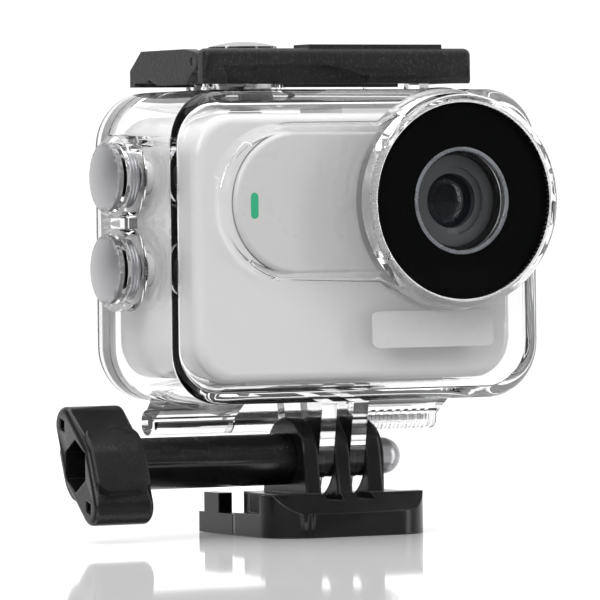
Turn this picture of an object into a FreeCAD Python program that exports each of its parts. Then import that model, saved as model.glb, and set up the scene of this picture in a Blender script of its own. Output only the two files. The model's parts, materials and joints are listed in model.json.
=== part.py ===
"""Action camera in a clear diving case, with a finger mount, a thumb screw and a quick-release buckle.

Millimetres. +X right, +Y back, +Z up; the lens looks along -Y.
The origin is the centre of the buckle's base face, under the thumb screw's axis.
"""
import FreeCAD, Part
import math
import os

Vector = FreeCAD.Vector
X_AXIS = Vector(1, 0, 0)
Y_AXIS = Vector(0, 1, 0)
Z_AXIS = Vector(0, 0, 1)

# ---------------------------------------------------------------- driving dimensions
# Fits between pieces
FACE_GAP = 0.15            # flat faces that slide past each other
RUNNING_CLEARANCE = 0.05   # radial, shaft in a bore
SLIDE_CLEARANCE = 0.1      # radial, key or cap in its guide
BODY_GAP = 0.3             # curved or swinging faces of different bodies
EDGE_ROUND = 0.4           # small rounding on moulded edges
FUSE_DEPTH = 1.0           # how far a piece reaches into the one it is fused to
CUT_PAST = 1.0             # how far a cutting solid reaches past the surface it opens
FAR = 60.0                 # past every surface, for cuts that go right through

# Thumb screw
SCREW_HEIGHT = 13.5
SCREW_RADIUS = 2.5
SLEEVE_WALL = 2.1
SLEEVE_LENGTH = 30.0
KNOB_LENGTH = 11.5
KNOB_WING_REACH = 12.0
KNOB_WING_RADIUS = 3.2
KNOB_WING_ANGLE = 36.0
KNOB_EDGE = 1.0
KNOB_PAD_RISE = 1.1
KNOB_PAD_INSET = 0.7
KNOB_PAD_LOW = 8.4         # pad's reach below the axis, along the wings
KNOB_PAD_HIGH = 4.6
KNOB_PAD_CORNER = 2.4
KNOB_POCKET_DEPTH = 5.0
KNOB_POCKET_CENTRE = 8.8
KNOB_POCKET_HALF_LENGTH = 1.6
KNOB_POCKET_HALF_WIDTH = 1.2
HEAD_FLATS_OVER_SCREW = 3.2
HEAD_SOCKET_WALL = 0.57    # plastic left at the socket's corners
HEX_SOCKET_DEPTH = 7.5
BOLT_HEAD_HEIGHT = 3.2

# Finger mount
FINGER_THICKNESS = 3.0
PRONG_RADIUS = 7.5
PRONG_BASE_REACH = 9.4
PRONG_SHOULDER = 0.3       # height of the tangent point on the round top, as a share of its radius
FINGER_RADIUS_LESS = 0.5   # the case's fingers are this much smaller than the prongs
HOUSING_FINGER_ROOT_REACH = 9.1

# Buckle
BUCKLE_HALF_WIDTH = 16.0
BUCKLE_FRONT = 13.4
BUCKLE_CORNER = 7.4
BUCKLE_RAIL_WIDTH = 3.6
BUCKLE_RAIL_FRONT = 6.0
BUCKLE_RAIL_REAR = 5.0
BUCKLE_RAIL_HEIGHT = 4.0
BUCKLE_BLOCK_HEIGHT = 7.5
BUCKLE_LIP_HEIGHT = 4.5
BUCKLE_LIP_DEPTH = 0.8
BUCKLE_LIP_SLOPE = 0.5
BUCKLE_CORE_HALF = 11.5
BUCKLE_CORE_REAR = 9.0
BUCKLE_FLOOR = 3.0         # solid thickness under the prongs and the nut boss
ARM_LENGTH = 13.0
ARM_THICKNESS = 2.6
ARM_TAB_LENGTH = 6.5
ARM_LOW_HEIGHT = 3.7
ARM_TAB_HEIGHT = 7.2
ARM_STEP = 0.7
ARM_TAB_INNER_STEP = 0.8
ARM_PIVOT_RADIUS = 1.2
ARM_ROOT_INSET = 0.6
ARM_ROOT_GAP = 0.25
NUT_BOSS_REACH = 1.1
NUT_BOSS_WALL = 1.8
NUT_FLATS_OVER_SCREW = 3.0
NUT_HEX_LENGTH = 2.9
NUT_DOME_WALL = 0.8
NUT_DOME_LENGTH = 6.4
BOLT_IN_NUT = 1.5          # how far the bolt reaches into the dome

# Pod (the camera's screen housing)
POD_HALF_WIDTH = 31.75
POD_HEIGHT = 47.6
POD_DEPTH = 28.8
POD_WALL = 1.6
POD_CORNER = 7.5
POD_EDGE = 2.0
POD_SPLIT_DEPTH = 19.8     # from the pod's front face to the joint between its halves
POD_SIDE_GAP = 2.6
POD_FLOOR_GAP = 1.2
POD_ROOF_GAP = 1.8
POD_FRONT_GAP = 0.8
POD_REAR_GAP = 0.6
SCREEN_THICKNESS = 0.9
SCREEN_MARGIN = 5.0
SCREEN_CORNER = 2.0
BOARD_MARGIN = 4.0
BOARD_THICKNESS = 1.0
BOARD_HOLE_RADIUS = 2.0
BATTERY_GAP = 0.6
BATTERY_MARGIN = 8.0
POD_BATTERY_HALF_WIDTH = 20.0
BATTERY_EDGE = 1.0
CUSHION_HALF_DEPTH = 8.0

# Clear case
CASE_FRONT = -16.0
CASE_WALL = 2.4
CASE_CORNER = 10.0
CASE_EDGE = 3.4
CASE_INNER_EDGE = 1.6
CASE_ABOVE_PRONGS = 3.0
DOOR_DEPTH = 7.4
SEAM_GAP = 0.4
GASKET_WIDTH = 1.2
GASKET_DEPTH = 3.3
GASKET_NIP = 0.1           # left open between the gasket and the front shell
RIB_PROUD = 3.4
RIB_LENGTH = 7.0
RIB_THICKNESS = 1.8

# Camera bulge and lens port
LENS_FROM_SIDE = 19.65
LENS_FROM_TOP = 20.0
BULGE_RADIUS = 14.55
BULGE_TOP_RADIUS = 12.6
BULGE_PAST_CAMERA = 4.2
BULGE_HEIGHT = 2.2
BULGE_EDGE = 0.8
PORT_BASE_RADIUS = 20.3
PORT_RIM_RADIUS = 18.9
PORT_EDGE = 0.5
PORT_LENGTH = 6.8
PORT_BORE_RADIUS = 15.4
PORT_DISC_RADIUS = 17.5
PORT_RECESS = 0.5
PORT_GLASS_THICKNESS = 1.0
PORT_MASK_THICKNESS = 0.3
PORT_TRIM_WIDTH = 0.4
LENS_RING_RADIUS = 9.55
LENS_RING_WIDTH = 0.7
LENS_RING_PAST_MASK = 1.0

# Name plate, blank
PLATE_LENGTH = 24.5
PLATE_HEIGHT = 6.5
PLATE_LEFT_OF_LENS = 15.5
PLATE_ABOVE_BOTTOM = 9.4
PLATE_THICKNESS = 0.4
PLATE_CORNER = 1.2

# Rear door hinge
HINGE_BEHIND_SEAM = 1.3
HINGE_DROP = 3.8
HINGE_PIN_RADIUS = 1.0
HINGE_BARREL_WALL = 1.3
HINGE_IN_FROM_SIDE = 7.75
HINGE_DOOR_HALF = 12.5
HINGE_END_WALL = 1.5
HINGE_ROOT_FRONT = 6.5
HINGE_WEB_SHARE = 0.9      # half-width of a web at the barrel, as a share of the barrel's radius
HINGE_DOOR_ROOT = (0.6, 5.5)
HINGE_RING_RISE = 0.25
HINGE_RING_LENGTH = 0.9
HINGE_RING_PITCH = 1.7

# Buttons
BUTTON_TRAVEL = 1.0
KEY_TRAVEL = 0.3
CAP_RADIUS = 6.1
CAP_DOME = 0.9
CAP_THICKNESS = 1.8
CAP_PROUD = 5.6
TOP_CAP_OVER_LATCH = 1.4
COLLAR_WALL = 1.3
COLLAR_HEIGHT = 3.2
COLLAR_GAP = 1.3           # between the two side collars
COLLAR_FROM_SEAM = 0.5
STEM_RADIUS = 1.5
STEM_BOSS_RADIUS = 3.5
STEM_PAST_CLIP = 0.1
CLIP_WIDTH = 1.2
CLIP_THICKNESS = 0.4
SPRING_IN_FROM_CAP = 0.7
SPRING_WIRE = 0.8
SEAL_WIDTH = 1.8
SEAL_DEPTH = 1.3
SIDE_BUTTON_FROM_TOP = 15.2
TOP_CAP_LUG_GAP = 0.3
KEY_RADIUS = 3.0
KEY_SPARE = 0.1            # least gap between a pressed stem and its pod key
KEY_DEPTH = 1.3

# Latch
LATCH_IN_FROM_SIDE = 9.75
LATCH_GAP = 1.1            # under the lever, above the case
LATCH_RISE = 7.4
LATCH_PAST_REAR = 2.9
LEVER_PIVOT_FROM_FRONT = 18.6
LEVER_PIVOT_RISE = 4.5
LINK_AHEAD_OF_PIVOT = 5.8
LINK_PIVOT_RISE = 5.1
LATCH_PIN_RADIUS = 0.8
LATCH_EYE_WALL = 1.1
LUG_THICKNESS = 2.0
LUG_FOOT_HALF = 3.4
EAR_THICKNESS = 1.9
ARM_PLATE_THICKNESS = 2.1
LEVER_BAR_DEPTH = 2.9
LEVER_BAR_COLLAR_GAP = 0.5
LEVER_END_ROUND = 1.3
LEVER_POST_WIDTH = 3.4
LEVER_EDGE_HEIGHT = 3.0    # of the narrow stretch over the scoop
LEVER_SCOOP_RIGHT = 6.0
LEVER_SCOOP_FLARE = 8.0
LEVER_SCOOP_WALL = 1.3
LEVER_LIP_HEIGHT = 1.4
LEVER_PLATE_THICKNESS = 1.6
LEVER_PLATE_REACH = 1.4
LEVER_PLATE_CAP_GAP = 0.4
GRIP_RISE = 0.7
GRIP_INSET = 1.5
GRIP_END_INSET = 6.0
HOOK_BAR_FRONT = 4.6
HOOK_TOOTH_PAST_REAR = 0.8
HOOK_CHAMFER_LENGTH = 4.6
HOOK_CHAMFER_DROP = 3.4
KEEPER_HEIGHT = 0.9
KEEPER_GAP = 0.1
KEEPER_HALF_LENGTH = 18.0
KEEPER_FROM_REAR = 4.4
KEEPER_WIDTH = 3.0

# Thumb-sized camera
CAMERA_RADIUS = 12.8
CAMERA_LENGTH = 54.4
CAMERA_DEPTH = 16.6
CAMERA_PROUD = 0.8
CAMERA_WALL = 1.3
CAMERA_EDGE = 1.0
CAMERA_REAR_EDGE = 1.5
CAMERA_RECESS_CLEARANCE = 0.2
TUB_WALL = 1.0
TURRET_RADIUS = 9.0
TURRET_SEAT_DEPTH = 5.0
TURRET_BEHIND_MASK = 1.6
LENS_TUBE_WALL = 0.8
LENS_TUBE_RECESS = 1.4
LENS_TUBE_STEPS = ((6.1, 0.6), (4.9, 2.2), (3.0, 4.0))   # radius and depth of each baffle
LENS_TUBE_APERTURE = 2.1
LENS_THICKNESS = 1.6
LENS_CURVE_RADIUS = 9.0
LENS_SEAT_CLEARANCE = 0.1
INNER_LENS_THICKNESS = 1.0
SENSOR_HALF = (4.0, 3.0)
SENSOR_THICKNESS = 1.2
SENSOR_GAP = 0.4
CAMERA_BATTERY_FROM_LENS = 12.0
CAMERA_BATTERY_PAST_CENTRE = 6.0
CAMERA_BATTERY_HALF_HEIGHT = 8.5
CAMERA_BATTERY_GAPS = (3.0, 1.0)
STATUS_LIGHT_PAST_CENTRE = 8.9
STATUS_LIGHT_DROP = 0.5
STATUS_LIGHT_WIDTH = 1.5
STATUS_LIGHT_HEIGHT = 4.6

# ---------------------------------------------------------------- places worked out from the sizes
# Screw and fingers
SCREW_CENTRE = Vector(0, 0, SCREW_HEIGHT)
SCREW_BORE_RADIUS = SCREW_RADIUS + RUNNING_CLEARANCE
FINGER_PITCH = FINGER_THICKNESS + FACE_GAP
PRONG_CENTRES = (-2 * FINGER_PITCH, 0.0, 2 * FINGER_PITCH)
HOUSING_FINGER_CENTRES = (-FINGER_PITCH, FINGER_PITCH)
HOUSING_FINGER_RADIUS = PRONG_RADIUS - FINGER_RADIUS_LESS
SLEEVE_RADIUS = SCREW_RADIUS + SLEEVE_WALL
SLEEVE_START = PRONG_CENTRES[0] - FINGER_THICKNESS / 2
KNOB_START = SLEEVE_START - SLEEVE_LENGTH
KNOB_END = KNOB_START - KNOB_LENGTH
HEX_SOCKET_FLATS = 2 * SCREW_RADIUS + HEAD_FLATS_OVER_SCREW
KNOB_WAIST_RADIUS = HEX_SOCKET_FLATS / math.sqrt(3) + HEAD_SOCKET_WALL
NUT_FLATS = 2 * SCREW_RADIUS + NUT_FLATS_OVER_SCREW
NUT_BOSS_RADIUS = NUT_FLATS / math.sqrt(3) + NUT_BOSS_WALL
NUT_DOME_RADIUS = SCREW_RADIUS + NUT_DOME_WALL
BOSS_END = -SLEEVE_START + NUT_BOSS_REACH
BOLT_END = BOSS_END + BOLT_IN_NUT
ARM_REAR = BUCKLE_RAIL_REAR + ARM_LENGTH

# Case round the pod
CASE_HALF_WIDTH = POD_HALF_WIDTH + POD_SIDE_GAP + CASE_WALL
CASE_HEIGHT = POD_HEIGHT + POD_FLOOR_GAP + POD_ROOF_GAP + 2 * CASE_WALL
CASE_DEPTH = POD_DEPTH + POD_FRONT_GAP + POD_REAR_GAP + 2 * CASE_WALL
CASE_BOTTOM = SCREW_HEIGHT + PRONG_RADIUS + CASE_ABOVE_PRONGS
CASE_TOP = CASE_BOTTOM + CASE_HEIGHT
CASE_REAR = CASE_FRONT + CASE_DEPTH
DOOR_FRONT = CASE_REAR - DOOR_DEPTH
CASE_SEAM = DOOR_FRONT - SEAM_GAP
CAVITY_HALF_WIDTH = CASE_HALF_WIDTH - CASE_WALL
CAVITY_FLOOR = CASE_BOTTOM + CASE_WALL
CAVITY_ROOF = CASE_TOP - CASE_WALL
CAVITY_CORNER = CASE_CORNER - CASE_WALL
CAVITY_FRONT = CASE_FRONT + CASE_WALL
HINGE_Y = CASE_SEAM + HINGE_BEHIND_SEAM
HINGE_Z = CASE_BOTTOM - HINGE_DROP
HINGE_BARREL_RADIUS = HINGE_PIN_RADIUS + HINGE_BARREL_WALL
HINGE_HALF_LENGTH = CASE_HALF_WIDTH - HINGE_IN_FROM_SIDE
PIN_HALF_LENGTH = HINGE_HALF_LENGTH - HINGE_END_WALL

# Pod and camera
POD_FRONT = CAVITY_FRONT + POD_FRONT_GAP
POD_REAR = POD_FRONT + POD_DEPTH
POD_BOTTOM = CAVITY_FLOOR + POD_FLOOR_GAP
POD_TOP = POD_BOTTOM + POD_HEIGHT
POD_SPLIT = POD_FRONT + POD_SPLIT_DEPTH
LENS_X = CASE_HALF_WIDTH - LENS_FROM_SIDE
LENS_Z = CASE_TOP - LENS_FROM_TOP
CAMERA_FRONT = POD_FRONT - CAMERA_PROUD
CAMERA_REAR = CAMERA_FRONT + CAMERA_DEPTH
CAMERA_LEFT = LENS_X + 2 * CAMERA_RADIUS - CAMERA_LENGTH
COVER_REAR = CAMERA_FRONT + CAMERA_WALL
TUB_RADIUS = CAMERA_RADIUS + CAMERA_RECESS_CLEARANCE
TUB_REAR = CAMERA_REAR + CAMERA_RECESS_CLEARANCE + TUB_WALL
STATUS_LIGHT_X = CAMERA_LEFT - STATUS_LIGHT_PAST_CENTRE
STATUS_LIGHT_Z = LENS_Z - STATUS_LIGHT_DROP

# Port
BULGE_LEFT = CAMERA_LEFT - BULGE_PAST_CAMERA
BULGE_FRONT = CASE_FRONT - BULGE_HEIGHT
PORT_FRONT = CASE_FRONT - PORT_LENGTH
PORT_SEAT_RADIUS = PORT_DISC_RADIUS + PORT_TRIM_WIDTH
GLASS_FRONT = PORT_FRONT + PORT_RECESS
GLASS_REAR = GLASS_FRONT + PORT_GLASS_THICKNESS
MASK_REAR = GLASS_REAR + PORT_MASK_THICKNESS
TURRET_FRONT = MASK_REAR + TURRET_BEHIND_MASK
TURRET_REAR = COVER_REAR + TURRET_SEAT_DEPTH
LENS_TUBE_FRONT = TURRET_FRONT + LENS_TUBE_RECESS
LENS_TUBE_RADIUS = TURRET_RADIUS - LENS_TUBE_WALL
PLATE_LEFT = LENS_X - PLATE_LEFT_OF_LENS
PLATE_BOTTOM = CASE_BOTTOM + PLATE_ABOVE_BOTTOM

# Buttons
COLLAR_BORE = CAP_RADIUS + SLIDE_CLEARANCE
COLLAR_RADIUS = COLLAR_BORE + COLLAR_WALL
SIDE_BUTTON_Y = CASE_SEAM - COLLAR_RADIUS - COLLAR_FROM_SEAM
UPPER_BUTTON_Z = CASE_TOP - SIDE_BUTTON_FROM_TOP
LOWER_BUTTON_Z = UPPER_BUTTON_Z - 2 * COLLAR_RADIUS - COLLAR_GAP
STEM_BORE = STEM_RADIUS + RUNNING_CLEARANCE
STEM_PAST_WALL = RUNNING_CLEARANCE + CLIP_THICKNESS + STEM_PAST_CLIP
CLIP_RADIUS = STEM_RADIUS + CLIP_WIDTH
SEAL_RADIUS = STEM_RADIUS + SEAL_WIDTH
SPRING_RADIUS = CAP_RADIUS - SPRING_IN_FROM_CAP

# Latch
LATCH_HALF_WIDTH = CASE_HALF_WIDTH - LATCH_IN_FROM_SIDE
LATCH_REAR = CASE_REAR + LATCH_PAST_REAR
LATCH_BOTTOM = CASE_TOP + LATCH_GAP
LATCH_TOP = CASE_TOP + LATCH_RISE
LEVER_PIVOT_Y = CASE_FRONT + LEVER_PIVOT_FROM_FRONT
LEVER_PIVOT_Z = CASE_TOP + LEVER_PIVOT_RISE
LINK_PIVOT_Y = LEVER_PIVOT_Y - LINK_AHEAD_OF_PIVOT
LINK_PIVOT_Z = CASE_TOP + LINK_PIVOT_RISE
LATCH_EYE_RADIUS = LATCH_PIN_RADIUS + LATCH_EYE_WALL
TOP_BUTTON_Y = LEVER_PIVOT_Y
LEVER_BAR_REAR = TOP_BUTTON_Y - COLLAR_RADIUS - LEVER_BAR_COLLAR_GAP
LATCH_FRONT = LEVER_BAR_REAR - LEVER_BAR_DEPTH
LEVER_EDGE_Z = LATCH_TOP - LEVER_EDGE_HEIGHT
KEEPER_TOP = CASE_TOP + KEEPER_HEIGHT
ARM_PLATE_INNER = LATCH_HALF_WIDTH - ARM_PLATE_THICKNESS
EAR_OUTER = ARM_PLATE_INNER - BODY_GAP
EAR_INNER = EAR_OUTER - EAR_THICKNESS
LUG_OUTER = EAR_INNER - BODY_GAP
LUG_INNER = LUG_OUTER - LUG_THICKNESS
TOP_BUTTON_X = -LUG_INNER + CAP_RADIUS + TOP_CAP_LUG_GAP
LEVER_PLATE_LEFT = TOP_BUTTON_X + CAP_RADIUS + LEVER_PLATE_CAP_GAP


# ---------------------------------------------------------------- helpers
def save(shape, node):
    """Write one node as a STEP file."""
    shape.exportStep(f"parts/{node}.step")


def cylinder(radius, start, direction, length):
    return Part.makeCylinder(radius, length, start, direction)


def rod_x(radius, x0, x1, y=0.0, z=SCREW_HEIGHT):
    """Cylinder along X between x0 and x1, on the screw axis unless told otherwise."""
    return cylinder(radius, Vector(min(x0, x1), y, z), X_AXIS, abs(x1 - x0))


def rod_y(radius, y0, y1, x, z):
    """Cylinder along Y between y0 and y1."""
    return cylinder(radius, Vector(x, min(y0, y1), z), Y_AXIS, abs(y1 - y0))


def rod_z(radius, z0, z1, x, y):
    """Cylinder along Z between z0 and z1."""
    return cylinder(radius, Vector(x, y, min(z0, z1)), Z_AXIS, abs(z1 - z0))


def lens_rod(radius, y0, y1):
    """Cylinder on the lens axis."""
    return rod_y(radius, y0, y1, LENS_X, LENS_Z)


def ring(outer, inner, y0, y1):
    """Flat ring on the lens axis."""
    return lens_rod(outer, y0, y1).cut(lens_rod(inner, y0 - CUT_PAST, y1 + CUT_PAST))


def block(x0, x1, y0, y1, z0, z1):
    """Box between two corners; the two X values may come in either order."""
    return Part.makeBox(abs(x1 - x0), y1 - y0, z1 - z0, Vector(min(x0, x1), y0, z0))


def prism_x(outline, x0, x1):
    """Extrude a closed (y, z) outline between x0 and x1, given in either order."""
    start = min(x0, x1)
    points = [Vector(start, y, z) for y, z in outline]
    face = Part.Face(Part.makePolygon(points + points[:1]))
    return face.extrude(Vector(abs(x1 - x0), 0, 0))


def prism_y(outline, y0, y1):
    """Extrude a closed (x, z) outline from y0 to y1."""
    points = [Vector(x, y0, z) for x, z in outline]
    face = Part.Face(Part.makePolygon(points + points[:1]))
    return face.extrude(Vector(0, y1 - y0, 0))


def edges_along(solid, axis):
    """Straight edges that run along X, Y or Z, named by its letter."""
    return [edge for edge in solid.Edges
            if abs(getattr(edge.tangentAt(edge.FirstParameter), axis)) > 0.99]


def edges_at_y(solid, y):
    """Edges that lie in the plane at y."""
    return [edge for edge in solid.Edges
            if abs(edge.BoundBox.YMin - y) < 1e-4 and abs(edge.BoundBox.YMax - y) < 1e-4]


def rounded_prism(half_width, z0, z1, radius, y0, y1):
    """Upright rounded rectangle, centred on X = 0, extruded from y0 to y1."""
    solid = block(-half_width, half_width, y0, y1, z0, z1)
    return solid.makeFillet(radius, edges_along(solid, "y"))


def pill(left, right, z, radius, y0, y1):
    """Horizontal pill outline with its round ends at left and right, extruded along Y."""
    middle = block(left, right, y0, y1, z - radius, z + radius)
    return middle.fuse([rod_y(radius, y0, y1, left, z), rod_y(radius, y0, y1, right, z)]).removeSplitter()


def tapered_pill(left, right, z, radius0, radius1, y0, y1):
    """Pill whose radius changes from radius0 at y0 to radius1 at y1."""
    cones = [Part.makeCone(radius0, radius1, y1 - y0, Vector(x, y0, z), Y_AXIS) for x in (left, right)]
    outline = [(y0, z - radius0), (y1, z - radius1), (y1, z + radius1), (y0, z + radius0)]
    return prism_x(outline, left, right).fuse(cones).removeSplitter()


def camera_pill(radius, y0, y1):
    """Pill on the camera's own centres."""
    return pill(CAMERA_LEFT, LENS_X, LENS_Z, radius, y0, y1)


def hexagon_prism(flats, x0, x1):
    """Hexagonal prism along X round the screw axis, with corners at the top and bottom."""
    corner = flats / math.sqrt(3)
    angles = [math.radians(60 * step) for step in range(6)]
    return prism_x([(corner * math.sin(a), SCREW_HEIGHT + corner * math.cos(a)) for a in angles], x0, x1)


# ---------------------------------------------------------------- buckle
def make_prong(centre):
    """One upright prong: round top about the screw axis, sloping edges down to the block."""
    x0 = centre - FINGER_THICKNESS / 2
    x1 = centre + FINGER_THICKNESS / 2
    shoulder = PRONG_SHOULDER * PRONG_RADIUS
    side = math.sqrt(PRONG_RADIUS ** 2 - shoulder ** 2)
    outline = [(-PRONG_BASE_REACH, BUCKLE_FLOOR), (PRONG_BASE_REACH, BUCKLE_FLOOR),
               (side, SCREW_HEIGHT + shoulder), (-side, SCREW_HEIGHT + shoulder)]
    prong = rod_x(PRONG_RADIUS, x0, x1).fuse(prism_x(outline, x0, x1)).removeSplitter()
    return prong.makeFillet(EDGE_ROUND, [edge for edge in prong.Edges
                                         if edge.BoundBox.XLength < 1e-4 and edge.BoundBox.ZMax > BUCKLE_FLOOR + 1e-4])


def make_buckle_block():
    """Block with round front corners, a sloping front top and a low rail on each side."""
    head = block(-BUCKLE_HALF_WIDTH, BUCKLE_HALF_WIDTH, -BUCKLE_FRONT, BUCKLE_RAIL_REAR, 0, BUCKLE_BLOCK_HEIGHT)
    corners = [edge for edge in edges_along(head, "z") if edge.BoundBox.YMax < 0]
    head = head.makeFillet(BUCKLE_CORNER, corners)
    core = block(-BUCKLE_CORE_HALF, BUCKLE_CORE_HALF, 0, BUCKLE_CORE_REAR, 0, BUCKLE_BLOCK_HEIGHT)
    front = -BUCKLE_FRONT - CUT_PAST
    slope = [(front, BUCKLE_LIP_HEIGHT - BUCKLE_LIP_SLOPE), (-BUCKLE_FRONT + BUCKLE_LIP_DEPTH, BUCKLE_LIP_HEIGHT),
             (-PRONG_BASE_REACH, BUCKLE_BLOCK_HEIGHT), (-PRONG_BASE_REACH, FAR), (front, FAR)]
    body = head.fuse(core).cut(prism_x(slope, -FAR, FAR))
    for side in (-1, 1):
        rail_inner = side * (BUCKLE_HALF_WIDTH - BUCKLE_RAIL_WIDTH)
        body = body.cut(block(rail_inner, side * FAR, -BUCKLE_RAIL_FRONT, FAR, BUCKLE_RAIL_HEIGHT, FAR))
    return body


def make_buckle():
    """Base block with three prongs, side rails and a boss that holds the nut."""
    body = make_buckle_block().fuse([make_prong(centre) for centre in PRONG_CENTRES])
    boss_start = -SLEEVE_START - FUSE_DEPTH
    boss = rod_x(NUT_BOSS_RADIUS, boss_start, BOSS_END)
    foot = block(boss_start, BOSS_END, -NUT_BOSS_RADIUS, NUT_BOSS_RADIUS, BUCKLE_FLOOR, SCREW_HEIGHT)
    body = body.fuse([boss, foot])
    slot_radius = HOUSING_FINGER_RADIUS + BODY_GAP
    for centre in HOUSING_FINGER_CENTRES:
        x0 = centre - FINGER_THICKNESS / 2 - FACE_GAP
        x1 = centre + FINGER_THICKNESS / 2 + FACE_GAP
        body = body.cut(block(x0, x1, -FAR, FAR, SCREW_HEIGHT - slot_radius, FAR))
    body = body.cut(rod_x(SCREW_BORE_RADIUS, -FAR, FAR))
    body = body.cut(hexagon_prism(NUT_FLATS, BOSS_END - NUT_HEX_LENGTH, BOSS_END + CUT_PAST))
    for side in (-1, 1):
        pivot = arm_pivot(side)
        body = body.cut(rod_z(ARM_PIVOT_RADIUS + RUNNING_CLEARANCE, -CUT_PAST, FAR, pivot.x, pivot.y))
        slot_inner = pivot.x - side * (ARM_THICKNESS / 2 + BODY_GAP)
        body = body.cut(block(slot_inner, side * FAR, pivot.y, FAR, -CUT_PAST, FAR))
    return body.removeSplitter()


def arm_pivot(side):
    """Root of a spring arm, where it bends."""
    return Vector(side * (BUCKLE_HALF_WIDTH - ARM_THICKNESS / 2), BUCKLE_RAIL_REAR - ARM_ROOT_INSET, 0)


def make_spring_arm(side):
    """Side spring arm with a stepped finger tab at its end."""
    pivot = arm_pivot(side)
    outer = side * BUCKLE_HALF_WIDTH
    inner = outer - side * ARM_THICKNESS
    low = block(inner, outer, pivot.y + ARM_ROOT_GAP, ARM_REAR, 0, ARM_LOW_HEIGHT)
    tab = block(inner - side * ARM_TAB_INNER_STEP, outer - side * ARM_STEP, ARM_REAR - ARM_TAB_LENGTH,
                ARM_REAR - ARM_STEP, ARM_LOW_HEIGHT - FUSE_DEPTH, ARM_TAB_HEIGHT)
    root = rod_z(ARM_PIVOT_RADIUS, 0, ARM_LOW_HEIGHT, pivot.x, pivot.y)
    return low.fuse([tab, root]).removeSplitter()


def make_cap_nut():
    """Domed nut pressed into the boss; the screw runs in its blind bore."""
    hexagon = hexagon_prism(NUT_FLATS, BOSS_END - NUT_HEX_LENGTH, BOSS_END)
    dome_centre = BOSS_END + NUT_DOME_LENGTH - NUT_DOME_RADIUS
    neck = rod_x(NUT_DOME_RADIUS, BOSS_END, dome_centre)
    dome = Part.makeSphere(NUT_DOME_RADIUS, Vector(dome_centre, 0, SCREW_HEIGHT))
    nut = hexagon.fuse([neck, dome.common(block(BOSS_END, FAR, -FAR, FAR, 0, FAR))])
    return nut.cut(rod_x(SCREW_BORE_RADIUS, 0, BOLT_END + BODY_GAP)).removeSplitter()


# ---------------------------------------------------------------- thumb screw
def tangent_band(radius0, radius1, distance, x0, x1):
    """Band along +Z that joins two circles by their outer tangents; the first is on the screw axis."""
    lean = math.asin((radius0 - radius1) / distance)
    y_share = math.cos(lean)
    z_share = math.sin(lean)
    outline = [(-radius0 * y_share, SCREW_HEIGHT + radius0 * z_share),
               (radius0 * y_share, SCREW_HEIGHT + radius0 * z_share),
               (radius1 * y_share, SCREW_HEIGHT + distance + radius1 * z_share),
               (-radius1 * y_share, SCREW_HEIGHT + distance + radius1 * z_share)]
    return prism_x(outline, x0, x1)


def opposite(shape):
    """Copy of a shape turned half round the screw axis."""
    turned = shape.copy()
    turned.rotate(SCREW_CENTRE, X_AXIS, 180)
    return turned


def knob_section(grow, x0, x1):
    """Two-winged section standing along Z, enlarged all round by grow."""
    waist = KNOB_WAIST_RADIUS + grow
    tip = KNOB_WING_RADIUS + grow
    distance = KNOB_WING_REACH - KNOB_WING_RADIUS
    wing = tangent_band(waist, tip, distance, x0, x1).fuse(rod_x(tip, x0, x1, 0, SCREW_HEIGHT + distance))
    return rod_x(waist, x0, x1).fuse([wing, opposite(wing)]).removeSplitter()


def make_knob_pad():
    """Raised thumb pad on the knob's front flat, with rounded corners."""
    x0 = KNOB_END + KNOB_PAD_INSET
    x1 = KNOB_START - KNOB_PAD_INSET
    window = block(x0, x1, -FAR, 0, SCREW_HEIGHT - KNOB_PAD_LOW, SCREW_HEIGHT + KNOB_PAD_HIGH)
    window = window.makeFillet(KNOB_PAD_CORNER, edges_along(window, "y"))
    return knob_section(KNOB_PAD_RISE, x0, x1).common(window)


def make_thumb_knob():
    """Moulded knob and sleeve in one piece, bored for the bolt."""
    knob = knob_section(0, KNOB_END, KNOB_START)
    rims = [edge for edge in knob.Edges if edge.BoundBox.XLength < 1e-4]
    knob = knob.makeFillet(KNOB_EDGE, rims)
    pad = make_knob_pad()
    knob = knob.fuse([pad, opposite(pad)])
    for side in (-1, 1):
        centre = SCREW_HEIGHT + side * KNOB_POCKET_CENTRE
        outline = [(0, centre + KNOB_POCKET_HALF_LENGTH), (KNOB_POCKET_HALF_WIDTH, centre),
                   (0, centre - KNOB_POCKET_HALF_LENGTH), (-KNOB_POCKET_HALF_WIDTH, centre)]
        knob = knob.cut(prism_x(outline, KNOB_END - CUT_PAST, KNOB_END + KNOB_POCKET_DEPTH))
    knob.rotate(SCREW_CENTRE, X_AXIS, -KNOB_WING_ANGLE)
    knob = knob.fuse(rod_x(SLEEVE_RADIUS, KNOB_START - KNOB_EDGE - FUSE_DEPTH, SLEEVE_START - FACE_GAP))
    knob = knob.cut(hexagon_prism(HEX_SOCKET_FLATS, KNOB_END - CUT_PAST, KNOB_END + HEX_SOCKET_DEPTH))
    return knob.cut(rod_x(SCREW_RADIUS, KNOB_END, 0)).removeSplitter()


def make_thumb_bolt():
    """Hexagon-head steel bolt, its head seated in the knob."""
    seat = KNOB_END + HEX_SOCKET_DEPTH
    head = hexagon_prism(HEX_SOCKET_FLATS, seat - BOLT_HEAD_HEIGHT, seat)
    return head.fuse(rod_x(SCREW_RADIUS, seat, BOLT_END)).removeSplitter()


# ---------------------------------------------------------------- clear case
def port_cone():
    """Outer surface of the lens port."""
    return Part.makeCone(PORT_RIM_RADIUS, PORT_BASE_RADIUS, PORT_LENGTH + CASE_WALL,
                         Vector(LENS_X, PORT_FRONT, LENS_Z), Y_AXIS)


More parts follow.
